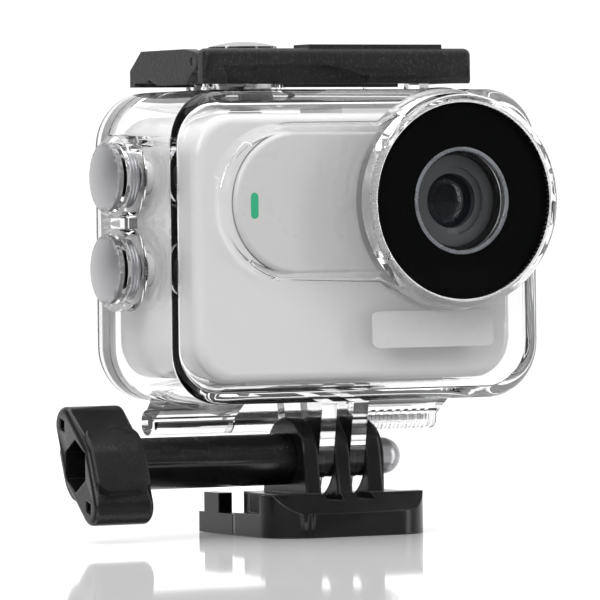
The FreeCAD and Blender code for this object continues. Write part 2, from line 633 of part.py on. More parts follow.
def make_lens_port():
    """Tapered tube that carries the window, and the raised bulge in front of the camera."""
    port = port_cone()
    port = port.makeFillet(PORT_EDGE, edges_at_y(port, PORT_FRONT))
    bulge = tapered_pill(BULGE_LEFT, LENS_X, LENS_Z, BULGE_TOP_RADIUS, BULGE_RADIUS,
                         BULGE_FRONT, CASE_FRONT + BODY_GAP)
    bulge = bulge.makeFillet(BULGE_EDGE, edges_at_y(bulge, BULGE_FRONT))
    return port.fuse(bulge)


def make_housing_fingers():
    """Two fingers below the case that interleave with the buckle's prongs."""
    root = CASE_BOTTOM + FUSE_DEPTH
    outline = [(-HOUSING_FINGER_RADIUS, SCREW_HEIGHT), (HOUSING_FINGER_RADIUS, SCREW_HEIGHT),
               (HOUSING_FINGER_ROOT_REACH, root), (-HOUSING_FINGER_ROOT_REACH, root)]
    fingers = []
    for centre in HOUSING_FINGER_CENTRES:
        x0 = centre - FINGER_THICKNESS / 2
        x1 = centre + FINGER_THICKNESS / 2
        fingers.append(prism_x(outline, x0, x1).fuse(rod_x(HOUSING_FINGER_RADIUS, x0, x1)))
    return fingers


def make_hinge_knuckle(x0, x1, root_front, root_rear):
    """Barrel with a web up into the case bottom, between two places along Y."""
    barrel = rod_x(HINGE_BARREL_RADIUS, x0, x1, HINGE_Y, HINGE_Z)
    top = CASE_BOTTOM + FUSE_DEPTH
    half = HINGE_BARREL_RADIUS * HINGE_WEB_SHARE
    web = prism_x([(HINGE_Y - half, HINGE_Z), (HINGE_Y + half, HINGE_Z), (root_rear, CASE_BOTTOM),
                   (root_rear, top), (root_front, top), (root_front, CASE_BOTTOM)], x0, x1)
    return barrel.fuse(web)


def make_hinge_rings():
    """Row of shallow grip rings round the right knuckle's barrel."""
    start = HINGE_DOOR_HALF + BODY_GAP
    count = int((HINGE_HALF_LENGTH - start) / HINGE_RING_PITCH)
    radius = HINGE_BARREL_RADIUS + HINGE_RING_RISE
    firsts = [HINGE_HALF_LENGTH - step * HINGE_RING_PITCH for step in range(count)]
    return [rod_x(radius, x - HINGE_RING_LENGTH, x, HINGE_Y, HINGE_Z) for x in firsts]


def button_places():
    """Name, centre on the outer wall, outward direction and cap height of each case button."""
    left = Vector(-1, 0, 0)
    return [("upper", Vector(-CASE_HALF_WIDTH, SIDE_BUTTON_Y, UPPER_BUTTON_Z), left, CAP_PROUD),
            ("lower", Vector(-CASE_HALF_WIDTH, SIDE_BUTTON_Y, LOWER_BUTTON_Z), left, CAP_PROUD),
            ("top", Vector(TOP_BUTTON_X, TOP_BUTTON_Y, CASE_TOP), Z_AXIS, LATCH_RISE + TOP_CAP_OVER_LATCH)]


def make_collar_rib():
    """Short bridge on the wall between the two side collars."""
    middle = (UPPER_BUTTON_Z + LOWER_BUTTON_Z) / 2
    return block(-CASE_HALF_WIDTH - RIB_PROUD, -CASE_HALF_WIDTH + FUSE_DEPTH,
                 SIDE_BUTTON_Y - RIB_LENGTH / 2, SIDE_BUTTON_Y + RIB_LENGTH / 2,
                 middle - RIB_THICKNESS / 2, middle + RIB_THICKNESS / 2)


def make_latch_lug(side):
    """Lug on the case top that carries one of the lever's pivot pins."""
    x0 = side * LUG_INNER
    x1 = side * LUG_OUTER
    half = LATCH_EYE_RADIUS * HINGE_WEB_SHARE
    foot = CASE_TOP - FUSE_DEPTH
    web = prism_x([(LEVER_PIVOT_Y - LUG_FOOT_HALF, foot), (LEVER_PIVOT_Y + LUG_FOOT_HALF, foot),
                   (LEVER_PIVOT_Y + half, LEVER_PIVOT_Z), (LEVER_PIVOT_Y - half, LEVER_PIVOT_Z)], x0, x1)
    return web.fuse(rod_x(LATCH_EYE_RADIUS, x0, x1, LEVER_PIVOT_Y, LEVER_PIVOT_Z))


def make_front_shell():
    """Clear front half of the case: cavity, lens port, mount fingers, hinge knuckles, lugs and collars."""
    shell = rounded_prism(CASE_HALF_WIDTH, CASE_BOTTOM, CASE_TOP, CASE_CORNER, CASE_FRONT, CASE_SEAM)
    shell = shell.makeFillet(CASE_EDGE, edges_at_y(shell, CASE_FRONT))
    shell = shell.fuse([make_lens_port()] + make_housing_fingers() + [make_collar_rib()])
    for side in (-1, 1):
        knuckle = make_hinge_knuckle(side * (HINGE_DOOR_HALF + BODY_GAP), side * HINGE_HALF_LENGTH,
                                     CASE_SEAM - HINGE_ROOT_FRONT, CASE_SEAM)
        shell = shell.fuse([knuckle, make_latch_lug(side)])
    shell = shell.fuse(make_hinge_rings())
    for _, wall, outward, _ in button_places():
        shell = shell.fuse(cylinder(COLLAR_RADIUS, wall - outward * FUSE_DEPTH, outward, COLLAR_HEIGHT + FUSE_DEPTH))
    cavity = rounded_prism(CAVITY_HALF_WIDTH, CAVITY_FLOOR, CAVITY_ROOF, CAVITY_CORNER,
                           CAVITY_FRONT, CASE_SEAM + CUT_PAST)
    shell = shell.cut(cavity.makeFillet(CASE_INNER_EDGE, edges_at_y(cavity, CAVITY_FRONT)))
    room = CAVITY_FRONT + CUT_PAST
    shell = shell.cut(pill(BULGE_LEFT + BULGE_PAST_CAMERA / 2, LENS_X, LENS_Z, TUB_RADIUS,
                           BULGE_FRONT + CASE_WALL, room))
    shell = shell.cut(lens_rod(PORT_BORE_RADIUS, PORT_FRONT - CUT_PAST, room))
    shell = shell.cut(lens_rod(PORT_SEAT_RADIUS, PORT_FRONT - CUT_PAST, MASK_REAR))
    for _, wall, outward, _ in button_places():
        shell = shell.cut(cylinder(COLLAR_BORE, wall, outward, COLLAR_HEIGHT + CUT_PAST))
        bore_start = wall - outward * (CASE_WALL + CUT_PAST)
        shell = shell.cut(cylinder(STEM_BORE, bore_start, outward, CASE_WALL + 2 * CUT_PAST))
        shell = shell.cut(cylinder(SEAL_RADIUS, wall - outward * SEAL_DEPTH, outward, SEAL_DEPTH))
    shell = shell.cut(rod_x(HINGE_PIN_RADIUS, -PIN_HALF_LENGTH, PIN_HALF_LENGTH, HINGE_Y, HINGE_Z))
    shell = shell.cut(rod_x(LATCH_PIN_RADIUS + RUNNING_CLEARANCE, -FAR, FAR, LEVER_PIVOT_Y, LEVER_PIVOT_Z))
    return shell.cut(rod_x(SCREW_BORE_RADIUS, PRONG_CENTRES[0], PRONG_CENTRES[-1])).removeSplitter()


def gasket_ring(y0, y1):
    """Rounded rectangular ring in the middle of the case wall."""
    shapes = []
    outer_inset = (CASE_WALL - GASKET_WIDTH) / 2
    for inset, past in ((outer_inset, 0), (outer_inset + GASKET_WIDTH, CUT_PAST)):
        shapes.append(rounded_prism(CASE_HALF_WIDTH - inset, CASE_BOTTOM + inset, CASE_TOP - inset,
                                    CASE_CORNER - inset, y0 - past, y1 + past))
    return shapes[0].cut(shapes[1])


def make_keeper_ridge():
    """Ridge on top of the door that the hook's cross bar drops over."""
    front = CASE_REAR - KEEPER_FROM_REAR
    rear = front + KEEPER_WIDTH
    foot = CASE_TOP - FUSE_DEPTH
    outline = [(front, foot), (rear, foot), (rear - KEEPER_HEIGHT / 2, KEEPER_TOP), (front + FUSE_DEPTH, KEEPER_TOP)]
    return prism_x(outline, -KEEPER_HALF_LENGTH, KEEPER_HALF_LENGTH)


def make_rear_door():
    """Clear rear door with its knuckle, gasket groove and keeper ridge."""
    door = rounded_prism(CASE_HALF_WIDTH, CASE_BOTTOM, CASE_TOP, CASE_CORNER, DOOR_FRONT, CASE_REAR)
    door = door.makeFillet(CASE_EDGE, edges_at_y(door, CASE_REAR))
    door = door.fuse([make_hinge_knuckle(-HINGE_DOOR_HALF, HINGE_DOOR_HALF, HINGE_Y - HINGE_DOOR_ROOT[0],
                                         HINGE_Y + HINGE_DOOR_ROOT[1]), make_keeper_ridge()])
    cavity = rounded_prism(CAVITY_HALF_WIDTH, CAVITY_FLOOR, CAVITY_ROOF, CAVITY_CORNER,
                           DOOR_FRONT - CUT_PAST, CASE_REAR - CASE_WALL)
    cavity = cavity.makeFillet(CASE_INNER_EDGE, edges_at_y(cavity, CASE_REAR - CASE_WALL))
    door = door.cut([cavity, gasket_ring(DOOR_FRONT - CUT_PAST, DOOR_FRONT + GASKET_DEPTH)])
    return door.cut(rod_x(HINGE_PIN_RADIUS + RUNNING_CLEARANCE, -FAR, FAR, HINGE_Y, HINGE_Z)).removeSplitter()


def make_port_pieces():
    """Window, dark mask, trim ring and lens ring of the port."""
    bore = LENS_RING_RADIUS - LENS_RING_WIDTH
    return {"port_window": lens_rod(PORT_DISC_RADIUS, GLASS_FRONT, GLASS_REAR),
            "port_mask_disc": ring(PORT_DISC_RADIUS, LENS_RING_RADIUS, GLASS_REAR, MASK_REAR),
            "port_trim_ring": ring(PORT_SEAT_RADIUS, PORT_DISC_RADIUS, GLASS_FRONT, MASK_REAR),
            "port_lens_ring": ring(LENS_RING_RADIUS, bore, GLASS_REAR, MASK_REAR + LENS_RING_PAST_MASK)}


def make_name_plate():
    """Blank raised plate on the front face."""
    plate = block(PLATE_LEFT, PLATE_LEFT + PLATE_LENGTH, CASE_FRONT - PLATE_THICKNESS, CASE_FRONT,
                  PLATE_BOTTOM, PLATE_BOTTOM + PLATE_HEIGHT)
    return plate.makeFillet(PLATE_CORNER, edges_along(plate, "y")).cut(port_cone())


# ---------------------------------------------------------------- case buttons
def make_button(wall, outward, proud):
    """Pieces of one push button on the case wall, as a dictionary of solids."""
    inward = outward * -1
    rim = wall + outward * (proud - CAP_DOME)
    cap = cylinder(CAP_RADIUS, rim, inward, CAP_THICKNESS - CAP_DOME)
    dome_radius = (CAP_RADIUS ** 2 + CAP_DOME ** 2) / (2 * CAP_DOME)
    dome = Part.makeSphere(dome_radius, rim + outward * (CAP_DOME - dome_radius))
    cap = cap.fuse(dome.common(cylinder(CAP_RADIUS, rim, outward, CAP_DOME + CUT_PAST))).removeSplitter()
    cap_back = wall + outward * (proud - CAP_THICKNESS)
    room = proud - CAP_THICKNESS - BUTTON_TRAVEL - BODY_GAP
    boss = cylinder(STEM_BOSS_RADIUS, cap_back, inward, room)
    rod = cylinder(STEM_RADIUS, cap_back, inward, proud - CAP_THICKNESS + CASE_WALL + STEM_PAST_WALL)
    clip_start = wall + inward * (CASE_WALL + RUNNING_CLEARANCE)
    clip = cylinder(CLIP_RADIUS, clip_start, inward, CLIP_THICKNESS)
    clip = clip.cut(cylinder(STEM_RADIUS, clip_start + outward, inward, CLIP_THICKNESS + 2 * CUT_PAST))
    spring = cylinder(SPRING_RADIUS, wall, outward, room)
    spring = spring.cut(cylinder(SPRING_RADIUS - SPRING_WIRE, wall + inward, outward, room + 2 * CUT_PAST))
    seal = cylinder(SEAL_RADIUS, wall + inward * SEAL_DEPTH, outward, SEAL_DEPTH)
    seal = seal.cut(cylinder(STEM_BORE, wall + inward * (SEAL_DEPTH + CUT_PAST), outward, SEAL_DEPTH + 2 * CUT_PAST))
    return {"cap": cap, "stem": boss.fuse(rod).removeSplitter(), "clip": clip, "spring": spring, "seal": seal}


def key_place(wall, outward):
    """Centre of the pod key that faces a case button, on the pod's own wall."""
    if outward == Z_AXIS:
        return Vector(wall.x, wall.y, POD_TOP)
    return Vector(-POD_HALF_WIDTH, wall.y, wall.z)


def make_key(wall, outward):
    """Pod key: a short button that the case button's stem pushes."""
    place = key_place(wall, outward)
    room = (wall - place).Length - CASE_WALL
    proud = room - STEM_PAST_WALL - (BUTTON_TRAVEL - KEY_TRAVEL) - KEY_SPARE
    return cylinder(KEY_RADIUS, place - outward * KEY_DEPTH, outward, KEY_DEPTH + proud)


def cut_key_bores(shell):
    """Guide bores for the keys through a pod half's walls."""
    for _, wall, outward, _ in button_places():
        start = key_place(wall, outward) - outward * (POD_WALL + CUT_PAST)
        shell = shell.cut(cylinder(KEY_RADIUS + SLIDE_CLEARANCE, start, outward, POD_WALL + 2 * CUT_PAST))
    return shell.removeSplitter()


# ---------------------------------------------------------------- latch
def make_lever_scoop():
    """Hollow under the bar's narrow stretch, flaring down to the full grip on the right."""
    left = -LATCH_HALF_WIDTH + LEVER_POST_WIDTH
    right = LEVER_SCOOP_RIGHT
    floor = LATCH_BOTTOM - CUT_PAST
    lean = LEVER_BAR_DEPTH / 2
    flare = right - LEVER_SCOOP_FLARE
    outline = [(left + lean, floor), (left + lean, LATCH_BOTTOM), (left, LEVER_EDGE_Z), (flare, LEVER_EDGE_Z),
               (flare + LEVER_SCOOP_FLARE / 2, LEVER_EDGE_Z - FUSE_DEPTH),
               (right - LEVER_LIP_HEIGHT, LATCH_BOTTOM + lean), (right, LATCH_BOTTOM + LEVER_LIP_HEIGHT),
               (right, floor)]
    return prism_y(outline, LATCH_FRONT - CUT_PAST, LEVER_BAR_REAR - LEVER_SCOOP_WALL)


def make_lever_bar():
    """Grip bar across the front, with rounded ends and top and a bevelled lower edge."""
    bar = block(-LATCH_HALF_WIDTH, LATCH_HALF_WIDTH, LATCH_FRONT, LEVER_BAR_REAR, LATCH_BOTTOM, LATCH_TOP)
    reaching_top = [edge for edge in bar.Edges if edge.BoundBox.ZMax > LATCH_TOP - 1e-4]
    bar = bar.makeFillet(LEVER_END_ROUND, [edge for edge in reaching_top if edge.BoundBox.YMin < LATCH_FRONT + 1e-4])
    front = LATCH_FRONT - CUT_PAST
    floor = LATCH_BOTTOM - CUT_PAST
    bevel = LATCH_FRONT + LEVER_END_ROUND
    lip = LATCH_BOTTOM + LEVER_LIP_HEIGHT
    underside = prism_x([(front, floor), (bevel, floor), (bevel, LATCH_BOTTOM), (LATCH_FRONT, lip), (front, lip)],
                        -FAR, FAR)
    return bar.cut([make_lever_scoop(), underside])


def make_latch_lever():
    """Grip bar with a thumb plate behind it and two ears back to the lugs."""
    plate_front = LEVER_BAR_REAR - FUSE_DEPTH
    plate_rear = LINK_PIVOT_Y + LEVER_PLATE_REACH
    plate = block(LEVER_PLATE_LEFT, LUG_INNER - FACE_GAP, plate_front, plate_rear,
                  LATCH_TOP - LEVER_PLATE_THICKNESS, LATCH_TOP)
    grip = block(LEVER_PLATE_LEFT + GRIP_INSET, LATCH_HALF_WIDTH - GRIP_END_INSET, LATCH_FRONT + GRIP_RISE,
                 plate_rear, LATCH_TOP - GRIP_RISE, LATCH_TOP + GRIP_RISE)
    lever = make_lever_bar().fuse([plate, grip])
    half = LATCH_EYE_RADIUS * HINGE_WEB_SHARE
    outline = [(plate_front, LATCH_BOTTOM + GRIP_RISE), (LEVER_PIVOT_Y, LATCH_BOTTOM + GRIP_RISE),
               (LEVER_PIVOT_Y + half, LEVER_PIVOT_Z), (LEVER_PIVOT_Y + half / 2, LATCH_TOP - LATCH_EYE_WALL),
               (LINK_PIVOT_Y, LATCH_TOP), (plate_front, LATCH_TOP)]
    for side in (-1, 1):
        x0 = side * EAR_INNER
        x1 = side * EAR_OUTER
        eye = rod_x(LATCH_EYE_RADIUS, x0, x1, LEVER_PIVOT_Y, LEVER_PIVOT_Z)
        lever = lever.fuse([prism_x(outline, x0, x1), eye])
    for y, z in ((LEVER_PIVOT_Y, LEVER_PIVOT_Z), (LINK_PIVOT_Y, LINK_PIVOT_Z)):
        lever = lever.cut(rod_x(LATCH_PIN_RADIUS, -FAR, FAR, y, z))
    return lever.removeSplitter()


def make_latch_hook():
    """Two side plates from the link pins back to a cross bar over the door's edge."""
    bar_bottom = KEEPER_TOP + LEVER_PLATE_THICKNESS / 2
    bar_front = CASE_REAR - HOOK_BAR_FRONT
    bar = block(-LATCH_HALF_WIDTH, LATCH_HALF_WIDTH, bar_front, LATCH_REAR, bar_bottom, LATCH_TOP)
    tooth = block(-LATCH_HALF_WIDTH, LATCH_HALF_WIDTH, CASE_REAR + HOOK_TOOTH_PAST_REAR, LATCH_REAR,
                  KEEPER_TOP + KEEPER_GAP, LATCH_TOP)
    chamfer_front = LATCH_REAR - HOOK_CHAMFER_LENGTH
    rear = LATCH_REAR + CUT_PAST
    low = LATCH_TOP - HOOK_CHAMFER_DROP
    chamfer = prism_x([(chamfer_front, LATCH_TOP + CUT_PAST), (chamfer_front, LATCH_TOP), (LATCH_REAR, low),
                       (rear, low), (rear, LATCH_TOP + CUT_PAST)], -FAR, FAR)
    hook = bar.fuse(tooth).cut(chamfer)
    side_bottom = LATCH_BOTTOM + KEEPER_GAP
    outline = [(LINK_PIVOT_Y, LINK_PIVOT_Z + LATCH_EYE_RADIUS), (LINK_PIVOT_Y + 1.5 * LATCH_EYE_RADIUS, LATCH_TOP),
               (bar_front + FUSE_DEPTH, LATCH_TOP), (bar_front + FUSE_DEPTH, bar_bottom + FUSE_DEPTH),
               (bar_front - HOOK_CHAMFER_DROP, side_bottom), (LINK_PIVOT_Y + 1.4 * LATCH_EYE_RADIUS, side_bottom),
               (LINK_PIVOT_Y, LINK_PIVOT_Z - LATCH_EYE_RADIUS)]
    for side in (-1, 1):
        x0 = side * ARM_PLATE_INNER
        x1 = side * LATCH_HALF_WIDTH
        eye = rod_x(LATCH_EYE_RADIUS, x0, x1, LINK_PIVOT_Y, LINK_PIVOT_Z)
        hook = hook.fuse([prism_x(outline, x0, x1), eye])
    bore = rod_x(LATCH_PIN_RADIUS + RUNNING_CLEARANCE, -FAR, FAR, LINK_PIVOT_Y, LINK_PIVOT_Z)
    return hook.cut(bore).removeSplitter()


def make_latch_pins():
    """Short pins: two hold the lever to the lugs, two link the hook to the lever."""
    pins = {}
    for name, side in (("left", -1), ("right", 1)):
        pins[f"lever_pivot_pin_{name}"] = rod_x(LATCH_PIN_RADIUS, side * LUG_INNER, side * EAR_OUTER,
                                                LEVER_PIVOT_Y, LEVER_PIVOT_Z)
        pins[f"hook_link_pin_{name}"] = rod_x(LATCH_PIN_RADIUS, side * EAR_INNER,
                                              side * (LATCH_HALF_WIDTH - FACE_GAP), LINK_PIVOT_Y, LINK_PIVOT_Z)
    return pins


# ---------------------------------------------------------------- pod and camera
def pod_block(inset, y0, y1):
    """The pod's rounded outline, drawn in by inset all round."""
    return rounded_prism(POD_HALF_WIDTH - inset, POD_BOTTOM + inset, POD_TOP - inset, POD_CORNER - inset, y0, y1)


def make_pod_front():
    """Front half of the pod, with the tub that the camera drops into."""
    shell = pod_block(0, POD_FRONT, POD_SPLIT)
    shell = shell.makeFillet(POD_EDGE, edges_at_y(shell, POD_FRONT))
    cavity = pod_block(POD_WALL, POD_FRONT + POD_WALL, POD_SPLIT + CUT_PAST)
    tub = camera_pill(TUB_RADIUS + TUB_WALL, POD_FRONT + POD_WALL / 2, TUB_REAR)
    tub = tub.common(pod_block(POD_WALL / 2, POD_FRONT, POD_SPLIT))
    recess = camera_pill(TUB_RADIUS, POD_FRONT - CUT_PAST, TUB_REAR - TUB_WALL)
    return cut_key_bores(shell.cut(cavity).fuse(tub).cut(recess))


def make_pod_rear():
    """Rear half of the pod, with a seat for the screen."""
    shell = pod_block(0, POD_SPLIT, POD_REAR)
    shell = shell.makeFillet(POD_EDGE, edges_at_y(shell, POD_REAR))
    cavity = pod_block(POD_WALL, POD_SPLIT - CUT_PAST, POD_REAR - POD_WALL)
    return cut_key_bores(shell.cut([cavity, make_screen()]))


def make_screen():
    """The screen's glass, flush with the pod's rear face."""
    return rounded_prism(POD_HALF_WIDTH - SCREEN_MARGIN, POD_BOTTOM + SCREEN_MARGIN, POD_TOP - SCREEN_MARGIN,
                         SCREEN_CORNER, POD_REAR - SCREEN_THICKNESS, POD_REAR)


def make_pod_insides():
    """Circuit board and battery behind the camera tub."""
    board_front = TUB_REAR + BATTERY_GAP
    board_rear = board_front + BOARD_THICKNESS
    board = rounded_prism(POD_HALF_WIDTH - BOARD_MARGIN, POD_BOTTOM + BOARD_MARGIN, POD_TOP - BOARD_MARGIN,
                          SCREEN_CORNER, board_front, board_rear)
    board = board.cut(rod_y(BOARD_HOLE_RADIUS, board_front - CUT_PAST, board_rear + CUT_PAST, 0,
                            POD_BOTTOM + BATTERY_MARGIN))
    battery = block(-POD_BATTERY_HALF_WIDTH, POD_BATTERY_HALF_WIDTH, board_rear + BATTERY_GAP,
                    POD_REAR - POD_WALL - BATTERY_GAP, POD_BOTTOM + BATTERY_MARGIN, POD_TOP - BATTERY_MARGIN)
    return {"pod_circuit_board": board, "pod_battery": battery.makeFillet(BATTERY_EDGE, battery.Edges)}


def make_lens_parts():
    """Turret, stepped lens tube, both lenses and the image sensor, all on the lens axis."""
    turret = ring(TURRET_RADIUS, LENS_TUBE_RADIUS, TURRET_FRONT, TURRET_REAR)
    tube = lens_rod(LENS_TUBE_RADIUS, LENS_TUBE_FRONT, TURRET_REAR)
    for radius, depth in LENS_TUBE_STEPS:
        tube = tube.cut(lens_rod(radius, LENS_TUBE_FRONT - CUT_PAST, LENS_TUBE_FRONT + depth))
    tube = tube.cut(lens_rod(LENS_TUBE_APERTURE, LENS_TUBE_FRONT, TURRET_REAR + CUT_PAST))
    front_seat = LENS_TUBE_FRONT + LENS_TUBE_STEPS[1][1]
    lens_front = front_seat - LENS_THICKNESS
    front_lens = lens_rod(LENS_TUBE_STEPS[1][0] - LENS_SEAT_CLEARANCE, lens_front, front_seat)
    curve = Part.makeSphere(LENS_CURVE_RADIUS, Vector(LENS_X, lens_front + LENS_CURVE_RADIUS, LENS_Z))
    inner_seat = LENS_TUBE_FRONT + LENS_TUBE_STEPS[2][1]
    inner_lens = lens_rod(LENS_TUBE_STEPS[2][0] - LENS_SEAT_CLEARANCE, inner_seat - INNER_LENS_THICKNESS, inner_seat)
    half_x, half_z = SENSOR_HALF
    sensor_front = TURRET_REAR + SENSOR_GAP
    sensor = block(LENS_X - half_x, LENS_X + half_x, sensor_front, sensor_front + SENSOR_THICKNESS,
                   LENS_Z - half_z, LENS_Z + half_z)
    return {"lens_turret": turret, "lens_tube": tube, "front_lens": front_lens.common(curve),
            "inner_lens": inner_lens, "image_sensor": sensor}


def make_camera_body():
    """Shell, front cover, status light and battery of the thumb-sized camera."""
    shell = camera_pill(CAMERA_RADIUS, COVER_REAR, CAMERA_REAR)
    shell = shell.makeFillet(CAMERA_REAR_EDGE, edges_at_y(shell, CAMERA_REAR))
    shell = shell.cut(camera_pill(CAMERA_RADIUS - CAMERA_WALL, CAMERA_FRONT, CAMERA_REAR - CAMERA_WALL))
    cover = camera_pill(CAMERA_RADIUS, CAMERA_FRONT, COVER_REAR)
    cover = cover.makeFillet(CAMERA_EDGE, edges_at_y(cover, CAMERA_FRONT))
    light = make_status_light()
    cover = cover.cut([lens_rod(TURRET_RADIUS, CAMERA_FRONT - CUT_PAST, COVER_REAR + CUT_PAST), light])
    front_gap, rear_gap = CAMERA_BATTERY_GAPS
    battery = block(CAMERA_LEFT - CAMERA_BATTERY_PAST_CENTRE, LENS_X - CAMERA_BATTERY_FROM_LENS,
                    COVER_REAR + front_gap, CAMERA_REAR - CAMERA_WALL - rear_gap,
                    LENS_Z - CAMERA_BATTERY_HALF_HEIGHT, LENS_Z + CAMERA_BATTERY_HALF_HEIGHT)
    return {"camera_shell": shell, "camera_front_cover": cover, "status_light": light,
            "camera_battery": battery.makeFillet(BATTERY_EDGE, battery.Edges)}


def make_status_light():
    """Upright rounded light pipe in the camera's front cover."""
    half = STATUS_LIGHT_WIDTH / 2
    reach = STATUS_LIGHT_HEIGHT / 2 - half
    bar = block(STATUS_LIGHT_X - half, STATUS_LIGHT_X + half, CAMERA_FRONT, COVER_REAR,
                STATUS_LIGHT_Z - reach, STATUS_LIGHT_Z + reach)
    ends = [rod_y(half, CAMERA_FRONT, COVER_REAR, STATUS_LIGHT_X, STATUS_LIGHT_Z + side * reach) for side in (-1, 1)]
    return bar.fuse(ends).removeSplitter()


def make_cushions():
    """Soft pads that hold the pod off the case floor and ceiling."""
    depth = (-CUSHION_HALF_DEPTH, CUSHION_HALF_DEPTH)
    lower = block(-POD_BATTERY_HALF_WIDTH, POD_BATTERY_HALF_WIDTH, *depth, CAVITY_FLOOR, POD_BOTTOM)
    upper = block(0, POD_BATTERY_HALF_WIDTH, *depth, POD_TOP, CAVITY_ROOF)
    return {"pod_cushion_lower": lower, "pod_cushion_upper": upper}


# ---------------------------------------------------------------- build every node
def build():
    """Every node's solid by name."""
    nodes = {"buckle_body": make_buckle(), "cap_nut": make_cap_nut(),
             "buckle_spring_arm_left": make_spring_arm(-1), "buckle_spring_arm_right": make_spring_arm(1),
             "thumb_knob": make_thumb_knob(), "thumb_bolt": make_thumb_bolt(),
             "front_shell": make_front_shell(), "rear_door": make_rear_door(),
             "door_gasket": gasket_ring(CASE_SEAM + GASKET_NIP, DOOR_FRONT + GASKET_DEPTH),
             "hinge_pin": rod_x(HINGE_PIN_RADIUS, -PIN_HALF_LENGTH, PIN_HALF_LENGTH, HINGE_Y, HINGE_Z),
             "name_plate": make_name_plate(), "latch_lever": make_latch_lever(), "latch_hook": make_latch_hook(),
             "pod_front_shell": make_pod_front(), "pod_rear_shell": make_pod_rear(), "pod_screen": make_screen()}
    for name, wall, outward, proud in button_places():
        for piece, solid in make_button(wall, outward, proud).items():
            nodes[f"{name}_button_{piece}"] = solid
        nodes[f"{name}_pod_key"] = make_key(wall, outward)
    for group in (make_port_pieces, make_latch_pins, make_pod_insides, make_camera_body, make_lens_parts,
                  make_cushions):
        nodes.update(group())
    return nodes


def main():
    os.makedirs("parts", exist_ok=True)
    nodes = build()
    for node, shape in sorted(nodes.items()):
        save(shape, node)
        print(f"{node:26s} solids {len(shape.Solids)} volume {shape.Volume:9.1f} valid {shape.isValid()}")
    print(len(nodes), "nodes")


main()
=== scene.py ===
# %% [markdown]
# # Action camera in a clear diving case
#
# This lesson dresses a finished mechanical frame as a studio product picture. The frame holds every
# solid at its true size: a white thumb-sized camera in its white pod, a clear polycarbonate case
# round them, a black latch on top, and a black finger mount with its thumb screw below.
#
# The frame's solids come in as loose triangles with plain colours. What is left to do is the part
# that makes a picture believable: rounded shading, coil springs, lens elements, plastics with grain,
# clear walls that bend light, and a soft studio round it all.

